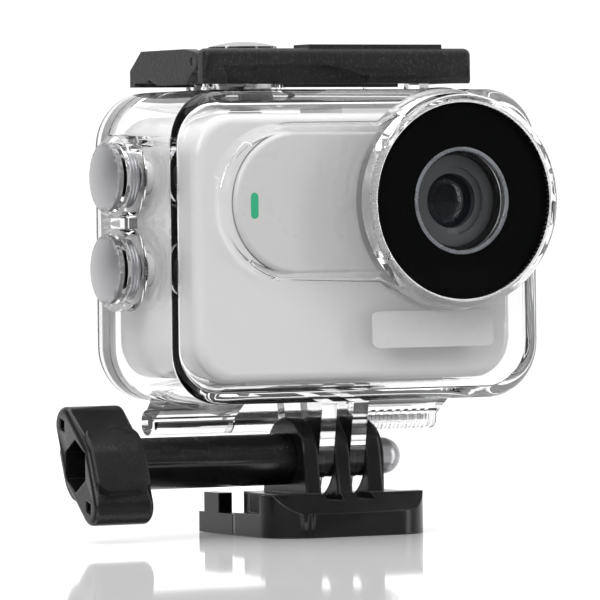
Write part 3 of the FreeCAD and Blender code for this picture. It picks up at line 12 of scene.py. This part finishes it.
# %% Load the frame
import sys
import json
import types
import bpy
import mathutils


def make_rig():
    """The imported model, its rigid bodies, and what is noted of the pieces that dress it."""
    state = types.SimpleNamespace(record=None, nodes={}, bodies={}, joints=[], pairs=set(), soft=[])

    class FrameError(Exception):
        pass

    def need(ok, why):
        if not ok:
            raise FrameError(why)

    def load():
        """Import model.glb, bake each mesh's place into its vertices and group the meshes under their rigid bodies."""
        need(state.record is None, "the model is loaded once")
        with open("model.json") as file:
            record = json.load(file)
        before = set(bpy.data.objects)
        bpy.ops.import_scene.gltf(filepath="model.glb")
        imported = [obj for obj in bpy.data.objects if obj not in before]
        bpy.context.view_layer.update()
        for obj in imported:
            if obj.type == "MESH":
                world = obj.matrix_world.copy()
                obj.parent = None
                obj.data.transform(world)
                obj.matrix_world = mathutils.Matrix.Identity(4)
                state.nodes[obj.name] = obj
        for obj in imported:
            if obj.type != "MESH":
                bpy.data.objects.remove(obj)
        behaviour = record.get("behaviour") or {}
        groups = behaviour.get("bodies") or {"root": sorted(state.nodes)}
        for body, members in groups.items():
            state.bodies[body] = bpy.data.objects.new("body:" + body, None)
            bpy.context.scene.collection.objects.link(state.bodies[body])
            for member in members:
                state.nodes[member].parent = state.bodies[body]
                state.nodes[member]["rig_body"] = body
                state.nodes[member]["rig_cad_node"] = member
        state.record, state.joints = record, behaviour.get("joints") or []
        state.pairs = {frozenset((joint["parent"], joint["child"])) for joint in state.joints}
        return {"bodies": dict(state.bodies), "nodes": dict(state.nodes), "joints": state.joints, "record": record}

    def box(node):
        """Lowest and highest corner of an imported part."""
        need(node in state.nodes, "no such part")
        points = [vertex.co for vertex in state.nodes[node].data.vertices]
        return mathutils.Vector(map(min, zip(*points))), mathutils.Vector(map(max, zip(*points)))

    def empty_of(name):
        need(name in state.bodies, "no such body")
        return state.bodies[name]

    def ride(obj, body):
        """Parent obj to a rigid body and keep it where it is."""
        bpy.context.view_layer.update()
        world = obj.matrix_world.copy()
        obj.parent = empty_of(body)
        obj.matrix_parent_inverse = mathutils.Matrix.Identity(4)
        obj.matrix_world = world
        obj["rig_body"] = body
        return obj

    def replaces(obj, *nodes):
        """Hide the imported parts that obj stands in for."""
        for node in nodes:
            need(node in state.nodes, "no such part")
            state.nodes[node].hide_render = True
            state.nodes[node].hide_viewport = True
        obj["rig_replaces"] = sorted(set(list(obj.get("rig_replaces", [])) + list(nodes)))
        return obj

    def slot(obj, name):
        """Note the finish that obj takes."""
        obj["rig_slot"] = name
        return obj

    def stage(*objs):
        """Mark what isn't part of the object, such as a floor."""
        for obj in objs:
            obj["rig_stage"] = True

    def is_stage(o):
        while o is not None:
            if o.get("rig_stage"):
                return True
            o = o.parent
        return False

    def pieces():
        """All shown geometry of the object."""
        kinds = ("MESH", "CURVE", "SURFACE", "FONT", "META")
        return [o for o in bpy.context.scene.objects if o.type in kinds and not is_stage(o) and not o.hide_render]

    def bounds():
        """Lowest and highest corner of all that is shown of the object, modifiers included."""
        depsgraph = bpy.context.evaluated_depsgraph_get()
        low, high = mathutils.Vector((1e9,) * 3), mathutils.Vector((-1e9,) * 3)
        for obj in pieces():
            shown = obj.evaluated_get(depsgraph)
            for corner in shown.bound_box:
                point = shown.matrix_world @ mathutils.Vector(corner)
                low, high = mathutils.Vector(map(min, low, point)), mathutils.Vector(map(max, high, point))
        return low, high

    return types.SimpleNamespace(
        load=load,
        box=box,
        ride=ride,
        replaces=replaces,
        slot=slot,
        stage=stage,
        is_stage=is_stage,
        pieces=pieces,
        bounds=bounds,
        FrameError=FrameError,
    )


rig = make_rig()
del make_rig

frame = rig.load()

import json
import math

import bpy
from mathutils import Matrix, Vector

cad_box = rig.bounds()
MM = 0.001
nodes = frame["nodes"]
bodies = frame["record"]["behaviour"]["bodies"]
home_body = {node: body for body, members in bodies.items() for node in members}
print("solids", len(nodes), "box in mm", [[round(v / MM, 1) for v in corner] for corner in cad_box])

# %% [markdown]
# ## The camera
#
# The object is looked at from its left and almost level, through a long lens, so that upright edges
# stay upright. A long lens far away and a short one close by can frame the same thing, but the short
# one swells whatever is nearest. Here the knob would look twice its size, so the lens is long.
# The camera is turned by hand-made axes: back, right and up, with a very small roll.

# %% Make the camera
VIEW_AZIMUTH = math.radians(-27.72)
VIEW_ELEVATION = math.radians(1.08)
VIEW_ROLL = math.radians(0.64)
VIEW_DISTANCE = 1048.6 * MM
SCENE_MIDDLE = Vector((0, 0, 50)) * MM
AIM_RIGHT = -3.74 * MM
AIM_UP = -8.18 * MM
LENS_LENGTH = 350.5
SENSOR_WIDTH = 36.0

back = Vector((math.sin(VIEW_AZIMUTH) * math.cos(VIEW_ELEVATION),
               -math.cos(VIEW_AZIMUTH) * math.cos(VIEW_ELEVATION), math.sin(VIEW_ELEVATION)))
level_right = Vector((math.cos(VIEW_AZIMUTH), math.sin(VIEW_AZIMUTH), 0))
level_up = back.cross(level_right)
right = level_right * math.cos(VIEW_ROLL) - level_up * math.sin(VIEW_ROLL)
up = level_right * math.sin(VIEW_ROLL) + level_up * math.cos(VIEW_ROLL)

bpy.ops.object.camera_add(location=SCENE_MIDDLE + right * AIM_RIGHT + up * AIM_UP + back * VIEW_DISTANCE)
camera = bpy.context.object
camera.name = "studio_camera"
camera.rotation_euler = Matrix((right, up, back)).transposed().to_euler()
camera.data.lens = LENS_LENGTH
camera.data.sensor_width = SENSOR_WIDTH
camera.data.clip_start = 0.01
bpy.context.scene.camera = camera
print("camera at", [round(v, 3) for v in camera.location])

# %% [markdown]
# ## Shader maths that reads like sums
#
# A procedural material is a small calculation: take the place on the surface, make some noise from
# it, and let that change the colour and the roughness a little. Wiring each node by name hides the
# sum. So one small class wraps an output socket, and the ordinary operators add Math nodes.
# Its method `node` adds any other kind of node from a type, settings and sockets.

# %% The socket class
class Flow:
    """An output socket of a shader tree. Sums with it add Math nodes."""

    def __init__(self, tree, socket):
        self.tree = tree
        self.socket = socket

    def node(self, kind, settings=None, output=0, **sockets):
        """Add a node: its settings first, then its sockets by name, and return one output."""
        made = self.tree.nodes.new("ShaderNode" + kind)
        for name, value in (settings or {}).items():
            if name == "stops":
                ramp = made.color_ramp.elements
                while len(ramp) < len(value):
                    ramp.new(1.0)
                for element, (place, colour) in zip(ramp, value):
                    element.position = place
                    element.color = colour
            else:
                setattr(made, name, value)
        for name, value in sockets.items():
            target = made.inputs[int(name[1:])] if name[0] == "_" else made.inputs[name.replace("_", " ")]
            if isinstance(value, Flow):
                self.tree.links.new(value.socket, target)
            else:
                target.default_value = value
        return Flow(self.tree, made.outputs[output])

    def sum_node(self, operation, first, second):
        return self.node("Math", {"operation": operation}, _0=first, _1=second)

    def __add__(self, other):
        return self.sum_node("ADD", self, other)

    __radd__ = __add__

    def __sub__(self, other):
        return self.sum_node("SUBTRACT", self, other)

    def __rsub__(self, other):
        return self.sum_node("SUBTRACT", other, self)

    def __mul__(self, other):
        return self.sum_node("MULTIPLY", self, other)

    __rmul__ = __mul__

    def above(self, level):
        return self.sum_node("GREATER_THAN", self, level)

    def clamped(self):
        return self.node("Clamp", Value=self)


def tint(flow, low, high):
    """Colour that goes from low to high as the flow goes from 0 to 1."""
    stops = [(0.0, (*low, 1.0)), (1.0, (*high, 1.0))]
    return flow.node("ValToRGB", {"stops": stops}, Fac=flow)


def noise(place, size, detail=2.0, stretch=(1, 1, 1)):
    """Noise whose blobs are about size millimetres across, wider along the stretched axes."""
    scale = tuple(1 / (size * MM * part) for part in stretch)
    spread = place.node("Mapping", Vector=place, Scale=scale)
    return place.node("TexNoise", Vector=spread, Scale=1.0, Detail=detail, Roughness=0.55)


BEVEL_SAMPLES = 6
# Gain of the edge mask, which paints handling wear and a painted edge highlight.
WEAR_GAIN = 5.0


def bumped(place, height, depth, strength=1.0, rounding=None):
    """Normal from a height; depth is in millimetres. rounding softens edges of that radius."""
    sockets = {"Height": height, "Distance": depth * MM, "Strength": strength}
    if rounding:
        sockets["Normal"] = place.node("Bevel", {"samples": BEVEL_SAMPLES}, Radius=rounding * MM)
    return place.node("Bump", **sockets)


# Edge mask: the paler edges it gives are partly handling wear and partly a painted edge highlight.
def edge_wear(place, rounding):
    """0 on flat faces and up to 1 along edges, from how far a rounded normal leans away."""
    soft = place.node("Bevel", {"samples": BEVEL_SAMPLES}, Radius=rounding * MM)
    hard = place.node("NewGeometry", output=1)
    facing = place.node("VectorMath", {"operation": "DOT_PRODUCT"}, output=1, _0=soft, _1=hard)
    return (WEAR_GAIN * (1.0 - facing)).clamped()


def start_material(name):
    """A material, with the place on the piece in object coordinates."""
    material = bpy.data.materials.new(name)
    material.use_nodes = True
    tree = material.node_tree
    tree.nodes.clear()
    place = Flow(tree, tree.nodes.new("ShaderNodeTexCoord").outputs["Object"])
    return material, place


def principled(place, **sockets):
    return place.node("BsdfPrincipled", **sockets)


def end_material(material, shader):
    out = shader.tree.nodes.new("ShaderNodeOutputMaterial")
    shader.tree.links.new(shader.socket, out.inputs["Surface"])
    return material


print("shader helpers ready")

# %% [markdown]
# ## Clear polycarbonate
#
# The case is moulded in clear polycarbonate. Seen straight on it nearly vanishes, and at its edges it
# gathers dark and bright lines. A ray tracer does that by itself if the walls have their true
# thickness. With the plastic's full bending power some light is caught inside the square-edged walls
# for good and leaves hard black lines, which a real moulding's tiny flaws let out again, so the power
# is set lower here. Two things are added: a hint of moulding waviness, and a way for lamps to reach
# what is inside, because a clear wall that only bends light leaves the inside dark.

# %% Clear plastics
SMEAR_SIZE = 9.0
SPECK_SIZE = 0.6
SPECK_LEVEL = 0.72
WAVE_SIZE = 6.0
UNEVEN = 0.02


def clear_material(name, colour, ior, rough, wave, pass_colour):
    material, place = start_material(name)
    smear = noise(place, SMEAR_SIZE)
    specks = noise(place, SPECK_SIZE).above(SPECK_LEVEL)
    glass = principled(place, Base_Color=(*colour, 1.0), IOR=ior, Transmission_Weight=1.0,
                       Roughness=rough + UNEVEN * smear + UNEVEN * specks,
                       Normal=bumped(place, noise(place, WAVE_SIZE, 1.0), wave, 1.0))
    straight = place.node("BsdfTransparent", Color=(*pass_colour, 1.0))
    rays = place.node("LightPath", output=1) + place.node("LightPath", output=2)
    return end_material(material, place.node("MixShader", _0=rays.clamped(), _1=glass, _2=straight))


case_clear = clear_material("case_clear_polycarbonate", (0.975, 0.975, 0.975), 1.33, 0.004, 0.002,
                            (0.96, 0.96, 0.96))
window_clear = clear_material("port_window_glass", (0.93, 0.95, 0.96), 1.12, 0.0, 0.001, (0.92, 0.93, 0.94))
# The lens glass is tinted dark and passes less light: painted shade for the dark inside of the lens.
lens_clear = clear_material("coated_lens_glass", (0.30, 0.31, 0.36), 1.28, 0.0, 0.0005, (0.5, 0.52, 0.6))
print("clear:", case_clear.name, window_clear.name, lens_clear.name)

# %% [markdown]
# ## White plastic of the camera and its pod
#
# Both are glossy white mouldings with a faint pearl. Pure white with no change looks like paper, so
# the colour drifts by a few hundredths, the gloss is uneven at the scale of a fingertip, and a very
# fine orange-peel bump breaks up the reflections.

# %% White plastics
def white_material(name, low, high, rough):
    material, place = start_material(name)
    drift = noise(place, 22.0)
    peel = noise(place, 0.5, 1.0)
    shader = principled(place, Base_Color=tint(drift, low, high), Roughness=rough + 0.08 * noise(place, 7.0),
                        Coat_Weight=0.25, Coat_Roughness=0.12,
                        Normal=bumped(place, peel, 0.004, 0.6, 0.3))
    return end_material(material, shader)


pod_white = white_material("pod_pearl_white", (0.76, 0.76, 0.76), (0.81, 0.81, 0.81), 0.28)
# The camera is the pod's white plastic painted a tone darker: painted shade on the camera inside the pod.
camera_white = white_material("camera_pearl_white", (0.66, 0.66, 0.66), (0.72, 0.72, 0.72), 0.24)
print("white:", pod_white.name, camera_white.name)

# %% [markdown]
# ## Black plastics
#
# The mount and the knob are satin black nylon, smoother on their faces and paler along the edges:
# partly handling wear and partly a painted edge highlight. The latch is the same plastic with a
# spark-eroded grain; its glitter, and the knob's fainter one, is painted as paler specks in the colour,
# a painted glint. One recipe makes all of them; the size and depth of the grain tell them apart.

# %% Black plastics
SPARKLE_LEVEL = 0.56
SMUDGE_SIZE = 5.0


def black_material(name, colour, rough, grain_size, grain_depth, rounding, glitter=0.0):
    material, place = start_material(name)
    grain = noise(place, grain_size, 3.0)
    smudge = noise(place, SMUDGE_SIZE, 2.0)
    # Paler edges: partly handling wear, partly a painted edge highlight.
    worn = edge_wear(place, rounding)
    pale = tuple(min(1.0, part * 2.4 + 0.05) for part in colour)
    # Sparkle paints paler specks of grain into the colour: a painted glint, strongest on the latch.
    sparkle = (grain - SPARKLE_LEVEL).clamped() * glitter
    paleness = (0.8 * worn + 0.12 * smudge + sparkle).clamped()
    shader = principled(place, Base_Color=tint(paleness, colour, pale),
                        Roughness=(rough + 0.12 * smudge - 0.10 * worn - 0.25 * sparkle).clamped(),
                        Specular_IOR_Level=0.28,
                        Normal=bumped(place, grain, grain_depth, 0.8, rounding))
    return end_material(material, shader)


satin_black = black_material("satin_black_nylon", (0.003, 0.003, 0.003), 0.16, 0.35, 0.005, 0.35)
knob_black = black_material("knob_black_nylon", (0.003, 0.003, 0.003), 0.20, 0.30, 0.030, 0.40, 0.8)
grain_black = black_material("grained_black_nylon", (0.003, 0.003, 0.003), 0.34, 0.50, 0.130, 0.35, 3.0)
print("black:", satin_black.name, knob_black.name, grain_black.name)

# %% [markdown]
# ## Metals
#
# Five finishes: satin chrome on the button caps, bright chrome on the rings, turned steel on the
# hinge pin, nut and clips, blackened steel on the screw, stems and latch pins, and spring wire.
# Turned metal shows fine rings from the tool, which are stretched noise here.

# %% Metals
def metal_material(name, colour, rough, stretch, depth):
    material, place = start_material(name)
    lines = noise(place, 0.25, 2.0, stretch)
    cloud = noise(place, 4.0, 2.0)
    low = tuple(part * 0.9 for part in colour)
    shader = principled(place, Base_Color=tint(cloud, low, colour), Metallic=1.0,
                        Roughness=rough + 0.10 * cloud + 0.05 * lines,
                        Normal=bumped(place, lines, depth, 0.5, 0.2))
    return end_material(material, shader)


satin_chrome = metal_material("satin_chrome", (0.40, 0.40, 0.41), 0.26, (1, 6, 6), 0.0015)
bright_chrome = metal_material("ring_chrome", (0.92, 0.92, 0.93), 0.20, (1, 1, 1), 0.0010)
turned_steel = metal_material("turned_steel", (0.40, 0.40, 0.41), 0.24, (1, 8, 8), 0.0030)
black_steel = metal_material("blackened_steel", (0.05, 0.05, 0.052), 0.26, (1, 8, 8), 0.0030)
spring_wire = metal_material("spring_wire", (0.34, 0.34, 0.36), 0.28, (6, 6, 6), 0.0020)
print("metals:", satin_chrome.name, bright_chrome.name, turned_steel.name, black_steel.name,
      spring_wire.name)

# %% [markdown]
# ## Rubber, foam, printed mask, lens parts, board, cells, screen and light
#
# These are small or half hidden, but each still gets its own grain and gloss, because the clear
# case lets a curious eye find them.

# %% Small finishes
def plain_material(name, low, high, rough, size, depth, coat=0.0, metallic=0.0, glow=None, shine=0.5):
    material, place = start_material(name)
    grain = noise(place, size, 2.0)
    sockets = {"Base_Color": tint(grain, low, high), "Roughness": rough + 0.08 * noise(place, size * 6),
               "Coat_Weight": coat, "Coat_Roughness": 0.05, "Metallic": metallic, "Specular_IOR_Level": shine,
               "Normal": bumped(place, grain, depth, 0.7)}
    if glow:
        sockets["Emission_Color"] = tint(noise(place, 1.5), tuple(part * 0.7 for part in glow), glow)
        sockets["Emission_Strength"] = 0.55
    return end_material(material, principled(place, **sockets))


gasket_grey = plain_material("silicone_gasket", (0.34, 0.34, 0.35), (0.44, 0.44, 0.45), 0.42, 0.5, 0.006)
seal_black = plain_material("moulded_seal", (0.02, 0.02, 0.02), (0.035, 0.035, 0.035), 0.5, 0.3, 0.006)
foam_grey = plain_material("foam_pad", (0.62, 0.62, 0.62), (0.74, 0.74, 0.74), 0.85, 0.35, 0.05)
mask_black = plain_material("printed_black_mask", (0.0015, 0.0015, 0.0015), (0.003, 0.003, 0.003),
                            0.40, 0.2, 0.001,
                            shine=0.06)
lens_black = plain_material("anodised_lens_black", (0.002, 0.002, 0.002), (0.004, 0.004, 0.004),
                            0.42, 0.2, 0.004,
                            shine=0.15)
lens_grey = plain_material("anodised_lens_grey", (0.05, 0.05, 0.05), (0.07, 0.07, 0.07), 0.30, 0.2, 0.004)
board_green = plain_material("solder_mask", (0.01, 0.10, 0.04), (0.03, 0.18, 0.08), 0.3, 1.2, 0.02, 0.4)
cell_grey = plain_material("foil_cell", (0.40, 0.41, 0.43), (0.55, 0.56, 0.58), 0.35, 1.5, 0.02, 0.0, 0.7)
screen_black = plain_material("screen_cover_glass", (0.006, 0.006, 0.007), (0.010, 0.010, 0.011),
                              0.06, 2.0, 0.0005, 1.0)
plate_white = plain_material("frosted_name_plate", (0.62, 0.62, 0.63), (0.68, 0.68, 0.69),
                             0.38, 1.8, 0.004, 0.3)
light_green = plain_material("status_light_green", (0.0, 0.22, 0.10), (0.01, 0.30, 0.15), 0.3, 0.6, 0.002, 0.3, 0.0,
                             (0.01, 0.36, 0.17))
print("small finishes ready")

# %% [markdown]
# ## Rounded shading on the solids
#
# A solid from the frame is a heap of loose triangles, so a curve would show its facets. A copy has its
# doubles merged, its flat faces cleared of needless edges, and is then shaded smooth except at true
# corners. Long thin triangles next to a rounded edge would still tilt the flat face's shading, so the
# normals are weighted by face area. The copy then stands for the solid and rides on the same body.

# %% Helper for smooth copies
FINISH = {
    "case_clear": "front_shell rear_door",
    "plate_white": "name_plate",
    "window_clear": "port_window",
    "lens_clear": "front_lens inner_lens",
    "pod_white": "pod_front_shell pod_rear_shell upper_pod_key lower_pod_key top_pod_key",
    "camera_white": "camera_shell camera_front_cover",
    "satin_black": "buckle_body buckle_spring_arm_left buckle_spring_arm_right",
    "knob_black": "thumb_knob",
    "grain_black": "latch_lever latch_hook",
    "satin_chrome": "upper_button_cap lower_button_cap top_button_cap",
    "bright_chrome": "port_trim_ring port_lens_ring",
    "black_steel": "thumb_bolt upper_button_stem lower_button_stem top_button_stem lever_pivot_pin_left "
                   "lever_pivot_pin_right hook_link_pin_left hook_link_pin_right",
    "turned_steel": "cap_nut hinge_pin upper_button_clip lower_button_clip top_button_clip",
    "gasket_grey": "door_gasket",
    "seal_black": "upper_button_seal lower_button_seal top_button_seal",
    "foam_grey": "pod_cushion_lower pod_cushion_upper",
    "mask_black": "port_mask_disc",
    "lens_black": "lens_turret",
    "lens_grey": "lens_tube",
    "board_green": "pod_circuit_board image_sensor",
    "cell_grey": "pod_battery camera_battery",
    "screen_black": "pod_screen",
    "light_green": "status_light",
}
finish_of = {node: globals()[finish] for finish, names in FINISH.items() for node in names.split()}
SMOOTH_ANGLE = math.radians(32)
FLAT_ANGLE = math.radians(0.4)


def only(piece):
    """Select one object alone and make it active."""
    bpy.ops.object.select_all(action="DESELECT")
    piece.select_set(True)
    bpy.context.view_layer.objects.active = piece


def dress(piece, material):
    piece.data.materials.clear()
    piece.data.materials.append(material)


SOLID_MERGE = 2e-6
WELD = 1e-6


def smooth_copy(node):
    """Merged, smooth-shaded copy of a solid that stands for it."""
    piece = nodes[node].copy()
    piece.data = nodes[node].data.copy()
    for key in list(piece.keys()):
        del piece[key]
    piece.parent = None
    piece.name = node + "_finish"
    bpy.context.collection.objects.link(piece)
    only(piece)
    bpy.ops.object.mode_set(mode="EDIT")
    bpy.ops.mesh.select_all(action="SELECT")
    bpy.ops.mesh.remove_doubles(threshold=SOLID_MERGE)
    bpy.ops.mesh.dissolve_limited(angle_limit=FLAT_ANGLE)
    bpy.ops.object.mode_set(mode="OBJECT")
    bpy.ops.object.shade_smooth_by_angle(angle=SMOOTH_ANGLE)
    weighted = piece.modifiers.new("area weighted normals", "WEIGHTED_NORMAL")
    weighted.keep_sharp = True
    bpy.ops.object.modifier_apply(modifier=weighted.name)
    dress(piece, finish_of[node])
    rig.replaces(piece, node)
    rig.ride(piece, home_body[node])
    return piece


# %% Make the smooth copies
copies = {}
for node in sorted(finish_of):
    copies[node] = smooth_copy(node)
print("smooth copies", len(copies), "faces", sum(len(piece.data.polygons) for piece in copies.values()))

# %% [markdown]
# ## Coil springs under the button caps
#
# Each button has a small compression spring. The frame holds its place with a plain sleeve of the
# same outside size. A real coil is a round wire that climbs as it turns, so a small circle of wire is
# drawn once and a Screw modifier winds it. Its ends are closed by faces, and copies go to each button.

# %% Wind the springs
WIRE_SIDES = 10
STEPS_PER_TURN = 36
SPRING_TURNS = {"upper": 3, "lower": 3, "top": 5}
WIRE_RADIUS = 0.38 * MM


def wind_spring(name, turns):
    """A coil on +Z, standing on the origin, with the wire's centre line inside the sleeve's wall."""
    sleeve_low, sleeve_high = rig.box(name + "_button_spring")
    sizes = sorted(sleeve_high - sleeve_low)
    length = sizes[0] if name != "top" else (sleeve_high - sleeve_low).z
    reach = (sleeve_high - sleeve_low).y / 2 - WIRE_RADIUS
    bpy.ops.object.select_all(action="DESELECT")
    bpy.ops.mesh.primitive_circle_add(vertices=WIRE_SIDES, radius=WIRE_RADIUS,
                                      location=(reach, 0, WIRE_RADIUS), rotation=(math.radians(90), 0, 0))
    coil = bpy.context.object
    coil.name = name + "_button_coil"
    bpy.ops.object.transform_apply(location=True, rotation=True, scale=True)
    screw = coil.modifiers.new("winding", "SCREW")
    screw.axis = "Z"
    screw.angle = math.radians(360) * turns
    screw.screw_offset = length - 2 * WIRE_RADIUS
    screw.steps = STEPS_PER_TURN * turns
    screw.render_steps = STEPS_PER_TURN * turns
    bpy.ops.object.modifier_apply(modifier=screw.name)
    bpy.ops.object.mode_set(mode="EDIT")
    bpy.ops.mesh.select_all(action="DESELECT")
    bpy.ops.mesh.select_non_manifold()
    bpy.ops.mesh.edge_face_add()
    bpy.ops.mesh.select_all(action="SELECT")
    bpy.ops.mesh.remove_doubles(threshold=WELD)
    bpy.ops.mesh.normals_make_consistent(inside=False)
    bpy.ops.object.mode_set(mode="OBJECT")
    bpy.ops.object.shade_smooth_by_angle(angle=SMOOTH_ANGLE)
    return coil, sleeve_low, sleeve_high


for name, turns in SPRING_TURNS.items():
    coil, low, high = wind_spring(name, turns)
    only(coil)
    middle = (low + high) / 2
    if name == "top":
        coil.location = (middle.x, middle.y, low.z)
    else:
        coil.rotation_euler = (0, math.radians(-90), 0)
        coil.location = (high.x, middle.y, middle.z)
    bpy.ops.object.transform_apply(location=True, rotation=True, scale=True)
    dress(coil, spring_wire)
    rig.replaces(coil, name + "_button_spring")
    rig.ride(coil, home_body[name + "_button_spring"])
    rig.slot(coil, "steel")
    print(coil.name, "turns", turns, "faces", len(coil.data.polygons))

# %% [markdown]
# ## Material slots
#
# Every piece says which slot of the parts record it takes its finish from, so that someone can
# repaint the object by slot.

# %% Name the slots
slot_of = {row["node"]: row["material_slot"] for row in frame["record"]["subparts"]}
for node, piece in copies.items():
    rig.slot(piece, slot_of[node])
print("slots", sorted(set(slot_of.values())))

# %% [markdown]
# ## Studio
#
# The floor is a pale glossy sheet that shows a soft reflection. The world is white behind the object
# and darker at the sides, because a clear wall needs something dark to bend into its edges. Three
# soft boxes light it: a big one high at the left front, a strip at the right and one overhead.

# %% Floor
FLOOR_HALF = 3.0
FLOOR_CORNER = 0.4
FLOOR_DROP = 0.05 * MM
FLOOR_MIRROR = 0.66
bpy.ops.object.select_all(action="DESELECT")
bpy.ops.mesh.primitive_plane_add(size=2 * FLOOR_HALF, location=(0, 0, -FLOOR_DROP))
floor = bpy.context.object
floor.name = "studio_floor"
bpy.ops.object.mode_set(mode="EDIT")
bpy.ops.mesh.bevel(offset=FLOOR_CORNER, segments=6, affect="VERTICES")
bpy.ops.object.mode_set(mode="OBJECT")
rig.stage(floor)
material, place = start_material("pale_glossy_floor")
matt = place.node("BsdfDiffuse", Color=tint(noise(place, 300.0), (0.93, 0.93, 0.93), (0.95, 0.95, 0.95)))
mirror = place.node("BsdfGlossy", Color=(0.95, 0.95, 0.95, 1.0), Roughness=0.05)
dress(floor, end_material(material, place.node("MixShader", _0=FLOOR_MIRROR, _1=matt, _2=mirror)))

# %% World
SIDE_GLOW = 0.30
BACK_GLOW = 1.15
world = bpy.data.worlds.new("studio_world")
world.use_nodes = True
bpy.context.scene.world = world
world.node_tree.nodes.clear()
toward = Flow(world.node_tree, world.node_tree.nodes.new("ShaderNodeTexCoord").outputs["Generated"])
behind = toward.node("VectorMath", {"operation": "DOT_PRODUCT"}, output=1, _0=toward, _1=tuple(-back))
glow = toward.node("MapRange", {"interpolation_type": "SMOOTHSTEP"}, Value=behind,
                   _1=0.05, _2=0.75, _3=SIDE_GLOW, _4=BACK_GLOW)
backdrop = toward.node("Background", Color=(1.0, 1.0, 1.0, 1.0), Strength=glow)
world_out = world.node_tree.nodes.new("ShaderNodeOutputWorld")
world.node_tree.links.new(backdrop.socket, world_out.inputs["Surface"])


# %% Soft boxes
def soft_box(name, place, aim, width, height, watts):
    bpy.ops.object.light_add(type="AREA", location=place)
    lamp = bpy.context.object
    lamp.name = name
    lamp.data.shape = "RECTANGLE"
    lamp.data.size = width
    lamp.data.size_y = height
    lamp.data.energy = watts
    lamp.visible_camera = False
    lamp.rotation_euler = (Vector(aim) - Vector(place)).to_track_quat("-Z", "Y").to_euler()
    return lamp


MIDDLE = (0, 0, 0.05)
soft_box("key_left", (-1.1, -0.75, 0.75), MIDDLE, 0.6, 0.8, 9.0)
soft_box("strip_right", (0.95, -0.75, 0.35), MIDDLE, 0.25, 1.0, 4.0)
soft_box("overhead", (0.0, 0.3, 1.2), MIDDLE, 1.0, 0.8, 6.0)
bpy.ops.object.light_add(type="SUN", rotation=(math.radians(12), 0, 0))
daylight = bpy.context.object
daylight.name = "ceiling_fill"
daylight.data.energy = 2.1
daylight.data.angle = math.radians(80)
print("lights", [o.name for o in bpy.data.objects if o.type == "LIGHT"])

# %% Tone
bpy.context.scene.view_settings.view_transform = "Standard"
bpy.context.scene.view_settings.look = "None"
bpy.context.scene.cycles.caustics_reflective = False
bpy.context.scene.cycles.caustics_refractive = False
bpy.context.scene.cycles.max_bounces = 20
bpy.context.scene.cycles.transmission_bounces = 18
bpy.context.scene.cycles.transparent_max_bounces = 24

# %% [markdown]
# ## Write the sizes
#
# Dressing mustn't change the object's size. The box of the frame and the box of the finished pieces
# are written side by side.

# %% Write the sizes
look_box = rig.bounds()
with open("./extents.json", "w") as sizes:
    json.dump({"cad": [list(corner) for corner in cad_box],
               "visual": [list(corner) for corner in look_box]}, sizes)
print("visual box in mm", [[round(v / MM, 1) for v in corner] for corner in look_box])
